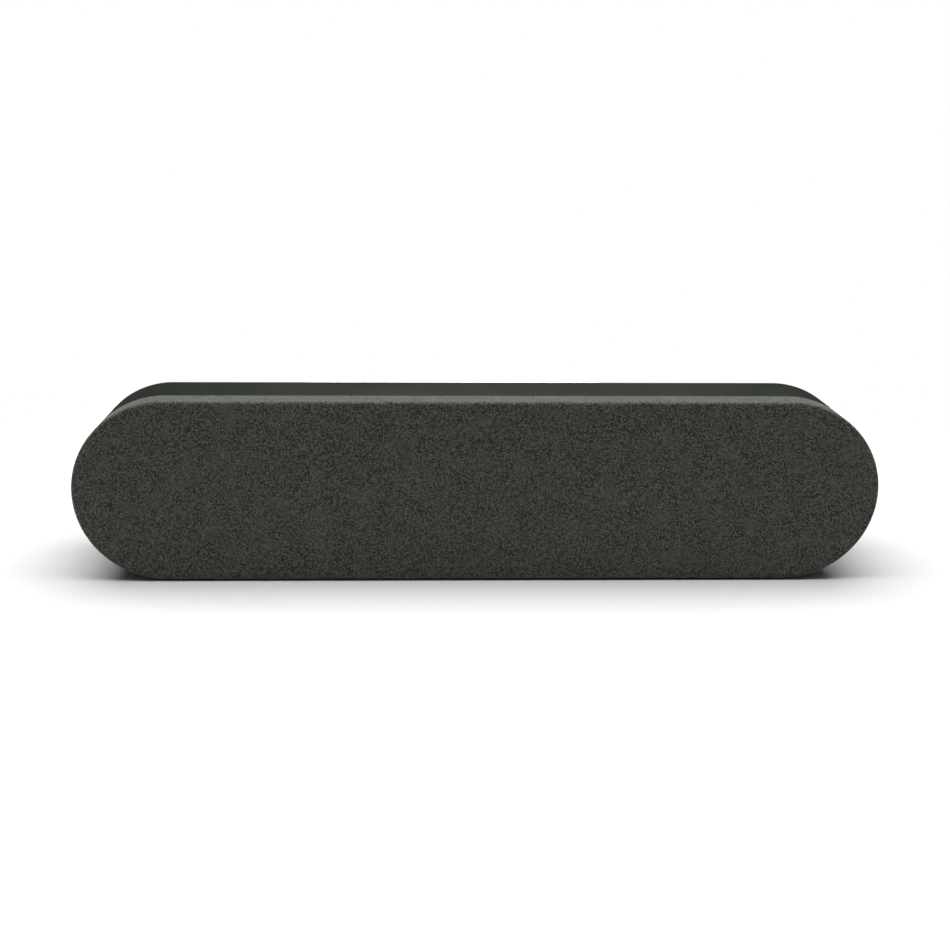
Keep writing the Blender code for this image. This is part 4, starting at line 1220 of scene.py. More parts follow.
@dataclass(frozen=True)
class Housing:
    """The moulded tub behind the cover, with its bay, pockets, recesses, bosses and ribs."""

    maker: Maker
    outline: Outline
    bay: Bay
    feet: Sequence[Foot]
    wall: float = 3.0
    neck_radius: float = 46.3
    cavity_radius: float = 43.3
    neck_at: float = 17.6
    edge: float = 0.45
    boss_radius: float = 4.0
    boss_front: float = 16.3
    boss_back: float = 38.0
    boss_places: Sequence[Pair] = ((-92, -37), (-92, 37), (92, -37), (92, 37), (-203, 0), (203, 0))
    rib: float = 2.4
    rib_front: float = 18.0
    rib_reach: float = 45.9
    standoff_places: Sequence[Pair] = ((-70, -24), (-70, 24), (70, -24), (70, 24))

    def shoulder_at(self) -> float:
        """Depth of the shoulder that the cover meets."""
        return self.outline.cover_depth + GAP

    def profile(self) -> np.ndarray:
        """Section from the middle of the inner back wall round the neck to the middle of the back."""
        outline = self.outline
        shoulder = self.shoulder_at()
        throat = shoulder + self.wall
        inner = outline.back_edge(self.wall)[::-1]
        neck = rounded([
            (outline.side(throat + 9.0, self.wall), throat + 9.0),
            (outline.side(throat + self.wall, self.wall), throat + self.wall, 1.0),
            (self.cavity_radius, throat, 0.8), (self.cavity_radius, self.neck_at, 0.3),
            (self.neck_radius, self.neck_at, 0.3), (self.neck_radius, shoulder, 0.3),
            (outline.side(shoulder), shoulder, self.edge), (outline.side(shoulder + 4.0), shoulder + 4.0),
        ], steps=5)
        outer = outline.back_edge(0.0)
        start, end = [[0.0, outline.depth - self.wall]], [[0.0, outline.depth]]
        return np.concatenate([start, inner, neck, outer, end])

    def pocket(self, name: str, place: Place) -> Piece:
        """A tool for the round pocket of a wall-mount insert, with a chamfered mouth."""
        radius, back = place.radius + GAP, self.outline.depth
        mouth = straight(radius + 0.6, back, back + 1.0)
        profile = np.concatenate([straight(radius, place.front - GAP, back - 0.6), mouth])
        return self.maker.prism(name, profile, Loop(corner_steps=10), place.middle)

    def boss(self, name: str, radius: float, front: float, back: float, bore: float, place: Pair) -> Piece:
        """A round boss with a blind bore and softened edges."""
        profile = rounded([
            (0.0, back - 3.0 if bore else front), (bore, back - 3.0), (bore, front, 0.2),
            (radius, front, 0.4), (radius, back, 0.6), (0.0, back),
        ])
        return self.maker.turned(name, profile, 8, (place[0], 0.0, place[1]))

    def build(self) -> None:
        """Makes the tub and, as a second piece, the bosses and ribs moulded to its inside."""
        outline, maker, depth = self.outline, self.maker, self.outline.depth
        inserts = [maker.datum.of(f"wall_insert_{side}") for side in SIDES]
        screws = [maker.datum.of(f"plate_screw_{side}") for side in SIDES]
        bore = (self.bay.inner - 1.0, self.bay.floor + 1.0)
        tub = maker.carried("housing_shell", self.profile(), outline.loop())
        into_wall = depth - self.wall / 2
        blocks = [self.bay.inside(maker, into_wall)]
        for at in inserts:
            blocks.append(maker.bar("insert_boss", at.radius + self.wall, 65.0, into_wall, at.x, at.up))
        shaped(tub, "UNION", *blocks)
        tools = [self.bay.hollow(maker, depth), self.bay.window(maker)]
        tools += [self.pocket("insert_pocket", place) for place in inserts]
        tools += [maker.bar("plate_bore", 1.5, *bore, at.x, at.up) for at in screws]
        tools += [foot.solid(maker, "foot_recess", GAP, 1.0) for foot in self.feet]
        shaped(tub, "DIFFERENCE", *tools)
        dress(tub, SHELL, ["housing"])
        dress(joined("housing_bosses", self.inner_parts()), SHELL)

    def inner_parts(self) -> list[Piece]:
        """Screw bosses with their ribs, and the standoffs that carry the circuit board."""
        parts = []
        for x, up in self.boss_places:
            parts.append(self.boss("boss", self.boss_radius, self.boss_front, self.boss_back, 1.8, (x, up)))
            side, over = np.sign(x) * (up == 0), np.sign(up)
            corner = 0.4
            root = self.boss_radius - corner
            reach = self.rib_reach - (abs(up) or abs(x) - self.outline.end_reach)
            half = (reach - self.boss_radius + corner) / 2
            half_x, half_up = (half, self.rib / 2) if side else (self.rib / 2, half)
            at = (x + side * (root + half), 0.0, up + over * (root + half))
            wall = straight(corner, self.rib_front, self.boss_back)
            parts.append(self.maker.prism("rib", wall, Loop(half_x - corner, half_up - corner, 3), at))
        board = self.maker.datum.of("main_board")
        stake_at, floor_at = board.front - 1.2, self.outline.depth - 2.0
        for x, up in self.standoff_places:
            profile = rounded([
                (0.0, stake_at), (1.2, stake_at, 0.5), (1.2, board.back + GAP),
                (3.2, board.back + GAP, 0.3), (3.2, floor_at), (0.0, floor_at),
            ])
            parts.append(self.maker.turned("standoff", profile, 6, (x, 0.0, up)))
        return parts


# ---- Fasteners ----


@dataclass(frozen=True)
class Screw:
    """A pan-head screw with a cross recess and a threaded shank."""

    head_radius: float
    head_at: float
    head_back: float
    tip_at: float
    shank: float
    pitch: float = 0.8
    thread: float = 0.28

    def master(self, maker: Maker) -> Piece:
        """One screw on the bar's axis.

        The head's section is a quarter ellipse over a short cylinder. The thread's section is a row of
        ridges, two flanks to each turn, that taper to a point.

        Args:
            maker: makes the mesh.

        Returns:
            The screw, with its head to the front.
        """
        turn = np.radians(np.linspace(0, 90, 8))
        height = self.head_back - self.head_at
        crown = np.column_stack([self.head_radius * np.sin(turn), height * 0.7 * (1 - np.cos(turn))])
        crown[:, 1] += self.head_at
        neck = self.head_back + 1.2 * np.sign(self.tip_at - self.head_back)
        count = int(abs(self.tip_at - neck) / self.pitch)
        step = (self.tip_at - neck) / (2 * count)
        ridge = np.arange(2 * count)
        taper = np.clip((2 * count - ridge) / 5.0, 0.25, 1.0)
        radius = (self.shank - self.thread * (ridge % 2 == 0)) * taper
        thread = np.column_stack([radius, neck + step * ridge])
        under = [[self.head_radius, self.head_back], [self.shank - self.thread, self.head_back]]
        profile = np.concatenate([crown, under, thread, [[0.0, self.tip_at]]])
        screw = maker.turned("screw", profile, 5)
        arm, half = self.head_radius * 0.62, self.head_radius * 0.13
        past, bottom = self.head_at - np.sign(height), self.head_at + height * 0.62
        slots = [
            maker.prism("slot", np.array([[0.08, past], [0.05, bottom]]), Loop(reach_x, reach_up, 2))
            for reach_x, reach_up in ((arm, half), (half, arm))
        ]
        return shaped(screw, "DIFFERENCE", *slots)


def place_screws(maker: Maker, name: str, nodes: Sequence[str], shank: float) -> None:
    """Makes the screws that the frame nodes stand for, as one piece.

    Args:
        maker: makes the mesh.
        name: the piece's name.
        nodes: the frame's screws, all alike.
        shank: radius of the thread.
    """
    places = [maker.datum.of(node) for node in nodes]
    first = places[0]
    front_head = first.front < MID_DEPTH
    head_height = 1.9 if front_head else 1.4
    head_at, tip_at = (first.front, first.back) if front_head else (first.back, first.front)
    head_back = head_at + math.copysign(head_height, tip_at - head_at)
    screw = Screw(first.radius, head_at, head_back, tip_at, shank).master(maker)
    repeated(screw, [(at.x, 0.0, at.up) for at in places])
    screw.name = name
    dress(screw, STEEL, nodes)


# ---- Baffle ----


@dataclass(frozen=True)
class Baffle:
    """The board behind the cover, with openings for the drive units and the radiator."""

    maker: Maker
    outline: Outline
    screw_places: Sequence[Pair]
    driver_hole: float = 36.9
    driver_screw_out: float = 33.0
    radiator_hole: float = 34.2
    radiator_reach: float = 37.0
    screw_hole: float = 1.8
    peg_places: Sequence[Pair] = PEG_PLACES
    socket: float = 2.7
    socket_back: float = 19.0
    collar: float = 2.0
    thickness: float = 4.0
    step_width: float = 2.0
    step_depth: float = 0.6
    foam_width: float = 2.4

    def build(self) -> None:
        """Makes the board, with a shallow step round its edge, and the foam gasket behind it."""
        maker, place = self.maker, self.maker.datum.of("baffle")
        back, step_at = place.front + self.thickness, place.front + self.step_depth
        inner = place.radius - self.step_width
        profile = rounded([
            (0.0, place.front), (inner, place.front, 0.3), (inner, step_at, 0.2),
            (place.radius, step_at, 0.3), (place.radius, back, 0.3), (0.0, back),
        ])
        board = maker.carried("baffle_board", profile, self.outline.loop())
        collar = (self.socket + self.collar, place.front + 2.0, self.socket_back + 2.0)
        shaped(board, "UNION", *[maker.bar("socket", *collar, x, up) for x, up in self.peg_places])
        front, past = place.front - 1.0, back + 1.0
        mouth = [[self.socket + 1.4, front], [self.socket + 0.6, place.front]]
        flared = np.concatenate([mouth, straight(self.socket, place.front + 0.9, self.socket_back)])
        loop = Loop(corner_steps=8)
        tools = [maker.prism("socket", flared, loop, (x, 0.0, up)) for x, up in self.peg_places]
        screw_hole = ("screw_hole", self.screw_hole, front, past)
        tools += [maker.bar(*screw_hole, x, up) for x, up in self.screw_places]
        for side in SIDES:
            driver = maker.datum.of(f"cone_{side}")
            hole = straight(self.driver_hole, front, past)
            tools.append(maker.prism("driver_hole", hole, Loop(corner_steps=24), driver.middle))
            for a, b in QUARTERS:
                at = driver.x + a * self.driver_screw_out, driver.up + b * self.driver_screw_out
                tools.append(maker.bar(*screw_hole, *at))
        hole = straight(self.radiator_hole, front, past)
        tools.append(maker.prism("radiator_hole", hole, Loop(self.radiator_reach, corner_steps=24)))
        shaped(board, "DIFFERENCE", *tools)
        dress(board, INNER, ["baffle"])

        foam = maker.datum.of("baffle_gasket")
        inner = foam.radius - self.foam_width
        ring = rounded([
            (inner, foam.front + 0.4), (inner, foam.front, 0.3), (foam.radius, foam.front, 0.3),
            (foam.radius, foam.back, 0.3), (inner, foam.back, 0.3), (inner, foam.back - 0.4),
        ])
        dress(maker.carried("gasket_foam", ring, self.outline.loop()), FOAM, ["baffle_gasket"])


# ---- Rolled edges ----


def half_roll(span: Pair, roll: float, lip: float, middle_at: float, skin: float) -> np.ndarray:
    """Section of a half-roll edge between two flat lips, as a skin of even thickness.

    The middle line is flat on each lip and a half circle between them, and the two faces stand half the
    skin to either side of it.

    Args:
        span: radii where the roll starts and ends.
        roll: radius of the roll.
        lip: width of each lip.
        middle_at: depth of the lips' middle line.
        skin: thickness.

    Returns:
        A closed ring of (radius, depth) points.
    """
    inner, outer = span
    middle = (inner + outer) / 2
    front = arc((middle, middle_at), roll + skin / 2, 180, 360, 24)
    front = front[front[:, 1] < middle_at - skin / 2 - 0.02]
    back = arc((middle, middle_at), roll - skin / 2, 0, -180, 24)
    back = back[back[:, 1] < middle_at + skin / 2]
    face_at, rear_at = middle_at - skin / 2, middle_at + skin / 2
    tip = skin * 0.35
    start, end = inner - lip, outer + lip
    return np.concatenate([
        [[start, middle_at], [start, face_at + tip / 2], [start + tip, face_at], [inner - 0.5, face_at]],
        front,
        [[outer + 0.5, face_at], [end - tip, face_at], [end, face_at + tip / 2], [end, rear_at]],
        [[outer - 0.1, rear_at]],
        back,
        [[inner + 0.1, rear_at], [start, rear_at]],
    ])


def follow_both(piece: Piece, moving: str, distance: np.ndarray, inner: float, outer: float) -> None:
    """Bakes the ring's placement into its mesh.

    Args:
        piece: the ring.
        moving: the body at the inner lip; not used.
        distance: each vertex's distance from the spine; not used.
        inner: distance at which the share starts to fall; not used.
        outer: distance at which it reaches 0; not used.
    """
    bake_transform(piece)


def spine_distance(piece: Piece, datum: Datum, place: Place, reach: float = 0.0) -> np.ndarray:
    """Each vertex's distance in front view from the stretch between two end centres, in millimetres."""
    points = mesh_points(piece) / MM
    along = np.clip(points[:, 0] - place.x, -reach, reach)
    return np.hypot(points[:, 0] - place.x - along, points[:, 2] - datum.axis_z - place.up)


# ---- Drive units ----


@dataclass(frozen=True)
class Driver:
    """A full-range drive unit: pressed basket, magnet system, and the cone with what centres it."""

    maker: Maker
    side: str
    flange_corner: float = 8.0
    flange_thickness: float = 2.0
    mouth: float = 33.5
    screw_out: float = 33.0
    window: Pair = (22.0, 18.0)
    window_corner: float = 2.0
    window_out: float = 31.0
    basket_radius: float = 36.4
    basket_inside: float = 34.3
    pot_radius: float = 25.5
    ledge_radius: float = 21.0
    ledge_at: float = 27.4
    throat: float = 12.2
    cone_neck: float = 11.4
    roll: float = 2.5
    skin: float = 0.7
    lip: float = 2.2
    former: float = 10.4
    wire: float = 0.32
    twist: float = 9.0
    lead_radius: float = 0.52
    lead_start: Spot = (66.0, 52.0, 6.0)
    lead_end: Spot = (27.0, 30.5, 3.0)
    lead_pull: float = 22.0
    cone_rings: int = 5
    ring_height: float = 0.12
    spider_waves: int = 3
    wave_height: float = 0.85
    winding_length: float = 8.0
    neck_at: float = 21.3
    waves_end: float = 20.4
    waves_hem: float = 21.4
    spider_radius: float = 24.6
    round_steps: int = 24

    @property
    def away(self) -> float:
        """The sign of x on this drive unit's side."""
        return -1.0 if self.side == "left" else 1.0

    def part(self, name: str) -> Place:
        """The place of one of this drive unit's frame nodes."""
        return self.maker.datum.of(f"{name}_{self.side}")

    def turned(self, name: str, profile: np.ndarray, steps: int = 0) -> Piece:
        """A profile turned about the drive unit's axis."""
        steps = steps or self.round_steps
        return self.maker.turned(f"{name}_{self.side}", profile, steps, self.part("cone").middle)

    def centred(self, finish: Finish) -> Finish:
        """The finish with its pattern round the drive unit's axis."""
        place, datum = self.part("cone"), self.maker.datum
        centre = (place.x * MM, 0.0, (place.up + datum.axis_z) * MM)
        return replace(finish, centre=centre)

    def basket(self) -> Piece:
        """The basket: a flange with a rolled rim, a sloping wall with four windows, and a spider ledge."""
        maker, place, middle = self.maker, self.part("basket"), self.part("cone").middle
        front, back = place.front, place.front + self.flange_thickness
        corner = Loop.box(place.width, place.height, self.flange_corner, 10)
        rim = rounded([
            (self.flange_corner - 2.5, front), (self.flange_corner - 1.0, front, 0.3),
            (self.flange_corner, front + 0.8, 0.3), (self.flange_corner, back, 0.3),
            (self.flange_corner - 1.0, back),
        ])
        flange = maker.prism(f"basket_frame_{self.side}", rim, corner, middle)
        wall = rounded([
            (self.basket_inside, front + 1.0), (self.basket_radius, front + 1.0),
            (self.basket_radius, 13.5, 0.8), (self.pot_radius + 1.5, 28.0, 0.6), (self.pot_radius, 29.0, 0.4),
            (self.pot_radius, place.back, 0.4), (self.throat, place.back, 0.2), (self.throat, 30.0, 0.2),
            (self.ledge_radius, 30.0, 0.3), (self.ledge_radius, self.ledge_at, 0.3),
            (25.0, self.ledge_at, 0.5), (self.basket_inside, 13.2, 0.8), (self.basket_inside, front + 1.2),
        ])
        shaped(flange, "UNION", self.turned("basket_wall", wall))
        mouth = np.array([[self.mouth + 1.3, front - 0.5], [self.mouth, front + 0.8], [self.mouth, 13.2]])
        tools = [maker.prism("mouth", mouth, Loop(corner_steps=self.round_steps), middle)]
        for across, over in ((1, 0), (-1, 0), (0, 1), (0, -1)):
            loop = Loop.box(*(self.window if across else self.window[::-1]), self.window_corner, 4)
            at = (middle[0] + self.window_out * across, 0.0, middle[2] + self.window_out * over)
            tools.append(maker.prism("window", straight(self.window_corner, 16.0, 24.5), loop, at))
        for a, b in QUARTERS:
            at = (middle[0] + a * self.screw_out, middle[2] + b * self.screw_out)
            tools.append(maker.bar("screw_hole", 1.8, front - 1.0, back + 0.6, *at))
        return shaped(flange, "DIFFERENCE", *tools)

    def cone(self) -> Piece:
        """The cone: a straight flare with pressed rings, thickened at the neck.

        Its front face's depth falls evenly with the radius, plus a small cosine for each pressed ring.
        """
        place = self.part("cone")
        t = np.linspace(0, 1, 40)
        radius = place.radius - 0.8 + t * (self.cone_neck - place.radius + 0.8)
        depth = place.front + t * (self.neck_at - place.front)
        turn = 2 * np.pi * self.cone_rings * np.clip((t - 0.08) / 0.8, 0, 1)
        rings = self.ring_height * (1 - np.cos(turn))
        face = np.column_stack([radius, depth + rings])
        back = np.column_stack([radius[::-1] + 0.62, (depth + rings)[::-1] + 0.3])
        back[-1] = (place.radius, place.front)
        neck = [[self.cone_neck, 22.9], [self.cone_neck + 0.6, 22.5]]
        return self.turned("cone_paper", np.concatenate([face, neck, back[1:]]))

    def dust_cap(self) -> Piece:
        """The dust cap: a shallow dome with a flat glued rim, as an even skin."""
        place = self.part("dust_cap")
        rise = place.back - place.front
        turn = np.radians(np.linspace(0, 90, 16))
        front = np.column_stack([place.radius * np.sin(turn), place.back - rise * np.cos(turn)])
        inner = place.radius - self.skin
        back = np.column_stack([inner * np.sin(turn), place.back - (rise - self.skin) * np.cos(turn)])[::-1]
        return self.turned("dust_dome", np.concatenate([front, back]))

    def spider(self) -> Piece:
        """The spider: a disc of treated cloth in rings of waves, as an even skin.

        Its depth is a sine of the radius over the waves, under a hump that is 0 at both ends of the waves.
        """
        place = self.part("spider")
        inner, end = self.former + 0.9, self.waves_end
        middle_at = (place.front + place.back) / 2
        radius = np.append(np.linspace(inner, end, 61), [self.waves_hem, self.spider_radius])
        t = np.clip((radius - inner) / (end - inner), 0, 1)
        wave = self.wave_height * np.sin(2 * np.pi * self.spider_waves * t) * np.sin(np.pi * t) ** 0.5
        half = self.skin / 3
        front = np.column_stack([radius, middle_at + wave - half])
        back = np.column_stack([radius, middle_at + wave + half])[::-1]
        return self.turned("spider_disc", np.concatenate([front, back]))

    def coil(self) -> tuple[Piece, Piece]:
        """The former, an aluminium tube, and the winding on it, whose section is a row of round wires."""
        place = self.part("voice_coil")
        tube = slab(self.former, 0.5, place.front, place.back, (0.0, 0.0))
        start = place.back - self.winding_length
        count = int(self.winding_length / self.wire)
        bead = arc((self.former + 0.3, 0.0), self.wire / 2, -90, 90, 6)[:-1]
        rows = [bead + (0.0, start + self.wire * (i + 0.5)) for i in range(count)]
        base = [[self.former + 0.02, place.back - 0.05], [self.former + 0.02, start]]
        former = self.turned("coil_former", tube)
        return former, self.turned("coil_winding", np.concatenate([*rows, base]), 16)

    def washer(self, name: str, inner: float, edge: float) -> Piece:
        """A flat ring with chamfered edges, as large as its frame node."""
        place = self.part(name)
        profile = rounded([
            (inner, (place.front + place.back) / 2), (inner, place.front, edge),
            (place.radius, place.front, edge), (place.radius, place.back, edge), (inner, place.back, edge),
            (inner, (place.front + place.back) / 2 + 0.1),
        ], steps=2)
        return self.turned(f"{name}_ring", profile)

    def yoke(self) -> Piece:
        """The yoke: a thick disc with a pole that has a vent through its middle."""
        place = self.part("yoke")
        disc_at = place.back - 4.0
        vent = 3.5
        profile = rounded([
            (vent, place.front + 2.0), (vent, place.front, 0.5), (9.2, place.front, 0.4),
            (9.2, disc_at, 0.3), (place.radius, disc_at, 0.3), (place.radius, place.back, 1.0),
            (vent + 1.5, place.back, 0.3), (vent, place.back - 1.5, 0.3), (vent, place.front + 2.2),
        ])
        return self.turned("yoke_pole", profile)

    def terminals(self) -> Piece:
        """Two brass tags on a block at the basket's side, where the lead ends."""
        middle = self.part("cone").middle
        base_x = middle[0] - self.away * 27.2
        side, loop = straight(0.3, 29.2, 32.6), Loop(1.4, 0.2, 3)
        places = [(base_x, 0.0, middle[2] + over) for over in (1.2, 4.8)]
        tags = [self.maker.prism("tag", side, loop, at) for at in places]
        return joined(f"terminal_tags_{self.side}", tags)

    def lead(self) -> tuple[Piece, Piece]:
        """The pair of wires from the circuit board, twisted round each other.

        The route is a cubic curve that leaves the board along the depth and arrives sideways. Each wire
        stands off it by the wire's radius, at an angle that grows evenly with the distance.

        Returns:
            The two wires.
        """
        x, depth, up = self.lead_end
        start = np.array(self.lead_start) * (self.away, 1.0, 1.0)
        end = np.array([self.part("cone").x - self.away * x, depth, up])
        pull = self.lead_pull
        handles = [start, start - (0.0, pull, 0.0), end - (self.away * pull, 0.0, 0.0), end]
        t = np.linspace(0, 1, 120)[:, None]
        weights = [(1 - t) ** 3, 3 * t * (1 - t) ** 2, 3 * t**2 * (1 - t), t**3]
        path = sum(weight * handle for weight, handle in zip(weights, handles))
        first, second = normals(path)
        length = np.cumsum(np.linalg.norm(np.gradient(path, axis=0), axis=1))[:, None]
        turn = length / self.twist * 2 * np.pi
        offset = 0.55 * (np.cos(turn) * first + np.sin(turn) * second)
        return (
            self.maker.tube(f"lead_red_{self.side}", path + offset, self.lead_radius),
            self.maker.tube(f"lead_black_{self.side}", path - offset, self.lead_radius),
        )

    def build(self) -> None:
        """Makes every piece of the drive unit."""
        side, moving, datum = self.side, f"{self.side}_cone", self.maker.datum
        dress(self.basket(), BLACK_STEEL, [f"basket_{side}"])
        dress(self.cone(), self.centred(PAPER), [f"cone_{side}"], moving)
        dress(self.dust_cap(), self.centred(PAPER), [f"dust_cap_{side}"], moving)
        former, winding = self.coil()
        dress(former, ALUMINIUM, body=moving)
        dress(winding, COPPER, [f"voice_coil_{side}"], moving)
        dress(self.washer("front_plate", 11.7, 0.4), self.centred(STEEL), [f"front_plate_{side}"])
        dress(self.washer("magnet", 13.0, 0.8), FERRITE, [f"magnet_{side}"])
        dress(self.yoke(), self.centred(STEEL), [f"yoke_{side}"])
        red, black = self.lead()
        dress(red, LEAD, [f"lead_{side}"])
        dress(black, LEAD_BLACK)
        dress(self.terminals(), BRASS)

        cone = self.part("cone")
        ring, disc = self.part("surround"), self.part("spider")
        inner, outer = cone.radius + 0.3, cone.radius + 5.3
        roll = half_roll((inner, outer), self.roll, self.lip, ring.back - self.skin / 2, self.skin)
        surround = self.turned("surround_roll", roll)
        dress(surround, RUBBER, [f"surround_{side}"], None)
        follow_both(surround, moving, spine_distance(surround, datum, cone), inner, outer)
        spider = self.spider()
        dress(spider, SPIDER_CLOTH, [f"spider_{side}"], None)
        follow_both(spider, moving, spine_distance(spider, datum, disc), self.former + 1.2, self.waves_hem)


# ---- Passive radiator ----


@dataclass(frozen=True)
class Radiator:
    """The racetrack passive radiator in the middle: frame, rolled edge, dished plate and tuning weight."""

    maker: Maker
    reach: float = 37.0
    inside: float = 31.5
    plate: float = 25.6
    roll: float = 2.7
    skin: float = 0.7
    lip: float = 2.2
    weight_reach: float = 20.0
    shoulder: float = 33.9
    dish: float = 0.5

    def carried(self, name: str, profile: np.ndarray, reach: float = 0.0) -> Piece:
        """A profile carried round the radiator's own stadium."""
        return self.maker.carried(name, profile, Loop(reach or self.reach, corner_steps=24))

    def build(self) -> None:
        """Makes the radiator's four pieces."""
        frame, lip = self.maker.datum.of("radiator_frame"), self.shoulder
        ring = rounded([
            (self.inside, frame.front + 1.0), (self.inside, frame.front, 0.4),
            (frame.radius, frame.front, 0.5), (frame.radius, frame.front + 2.0, 0.3),
            (lip, frame.front + 2.0, 0.3), (lip, frame.back, 0.4), (self.inside, frame.back, 0.4),
            (self.inside, frame.front + 1.2),
        ])
        dress(self.carried("radiator_ring", ring), INNER, ["radiator_frame"])

        plate = self.maker.datum.of("radiator_plate")
        dished = plate.front + self.dish
        face = rounded([
            (0.0, dished), (self.plate - 5.0, dished, 0.8),
            (self.plate - 4.0, plate.front, 0.6), (self.plate, plate.front, 0.3),
            (self.plate, plate.back, 0.3), (0.0, plate.back),
        ])
        dress(self.carried("radiator_disc", face), ALUMINIUM, ["radiator_plate"], "radiator")

        weight = self.maker.datum.of("radiator_weight")
        slug = slab(weight.radius, weight.radius, weight.front, weight.back, (0.3, 1.0))
        slug = self.carried("radiator_slug", slug, self.weight_reach)
        dress(slug, STEEL, ["radiator_weight"], "radiator")

        edge = self.maker.datum.of("radiator_surround")
        span = self.plate, self.inside
        roll = half_roll(span, self.roll, self.lip, edge.back - self.skin / 2, self.skin)
        surround = self.carried("radiator_roll", roll)
        dress(surround, RUBBER, ["radiator_surround"], None)
        distance = spine_distance(surround, self.maker.datum, plate, self.reach)
        follow_both(surround, "radiator", distance, *span)


# ---- Electronics ----


@dataclass(frozen=True)
class Electronics:
    """The circuit board with its parts, a finned heat sink and a large capacitor."""

    maker: Maker
    corner: float = 2.0
    stake: float = 1.5
    stake_x: float = 70.0
    stake_up: float = 24.0
    chip_depth: float = 1.4
    chip_places: Sequence[Sequence[float]] = ((8, -14, 5, 5), (52, 2, 6, 4), (-60, -8, 3.5, 6))

    def board(self, place: Place) -> Piece:
        """The board, with rounded corners and a hole for each stake."""
        loop = Loop.box(place.width, place.height, self.corner, 6)
        side = slab(self.corner, 0.2, place.front, place.back, (0.1, 0.1), steps=1)
        board = self.maker.prism("board_laminate", side, loop, place.middle)
        front, past = place.front - 1.0, place.back + 1.0
        places = [(a * self.stake_x, b * self.stake_up) for a, b in QUARTERS]
        holes = [self.maker.bar("stake_hole", self.stake, front, past, *at) for at in places]
        return shaped(board, "DIFFERENCE", *holes)

    def chips(self, place: Place) -> Piece:
        """Flat packages and rows of small parts on the board's front, each a block with rounded edges."""
        front, back = place.front - self.chip_depth - GAP * 0.1, place.front - 0.05
        side = slab(0.5, 0.2, front, back, (0.1, 0.0))
        blocks = []
        for x, up, half_x, half_up in self.chip_places:
            blocks.append(self.maker.prism("chip", side, Loop(half_x, half_up, 3), (x, 0.0, up)))
        small = rounded([(0.1, front + 0.7), (0.2, front + 0.7), (0.2, back)])
        part = self.maker.prism("small_part", small, Loop(0.8, 0.4, 2))
        along = [x for x in np.arange(-58.0, 60.0, 6.5) if abs(x - 32.0) > 8.0]
        blocks.append(repeated(part, [(x, 0.0, up) for up in (-24.0, 21.0) for x in along]))
        return joined("board_chips", blocks)

    def heat_sink(self, place: Place, fins: int = 8) -> Piece:
        """The heat sink: a base with tapered fins, whose section is carried along the height.

        The section's outline goes up and down once for each fin, and each fin narrows by its draft.
        """
        base_at, tip_at, draft = place.back - 3.0, place.front, 0.35
        pitch = place.width / fins
        left = place.x - place.width / 2
        outline = [(left, place.back)]
        for i in range(fins):
            start = left + pitch * i
            thick = pitch * 0.42
            outline += [(start, base_at), (start + draft, tip_at)]
            outline += [(start + thick - draft, tip_at), (start + thick, base_at)]
        right = place.x + place.width / 2
        section = np.array([*outline, (right, base_at), (right, place.back)])
        ends = [place.up - place.height / 2, place.up + place.height / 2]
        points = np.concatenate([np.column_stack([section, np.full(len(section), end)]) for end in ends])
        count = len(section)
        index = np.arange(count)
        after = (index + 1) % count
        sides = np.column_stack([index, after, after + count, index + count]).tolist()
        faces = [*sides, list(range(count)), list(range(count, 2 * count))]
        return self.maker.piece("heat_sink_fins", points, faces)

    def capacitor(self, place: Place) -> Piece:
        """The capacitor: a sleeved can with a crimped neck and a scored vent in its top."""
        score = [(0.0, place.front + 0.25), (place.radius - 2.6, place.front + 0.25, 0.1)]
        profile = rounded([
            *score, (place.radius - 2.2, place.front, 0.2), (place.radius, place.front, 0.6),
            (place.radius, place.back - 3.6, 0.5), (place.radius - 0.7, place.back - 3.0, 0.4),
            (place.radius, place.back - 2.4, 0.5), (place.radius, place.back, 0.3), (0.0, place.back),
        ])
        return self.maker.turned("capacitor_can", profile, 12, place.middle)

    def build(self) -> None:
        """Makes the board and everything on its front side."""
        datum = self.maker.datum
        board = datum.of("main_board")
        dress(self.board(board), BOARD, ["main_board"])
        dress(self.chips(board), INNER)
        dress(self.heat_sink(datum.of("heat_sink")), ALUMINIUM, ["heat_sink"])
        dress(self.capacitor(datum.of("capacitor")), INNER, ["capacitor"])


# ---- Connector bay ----


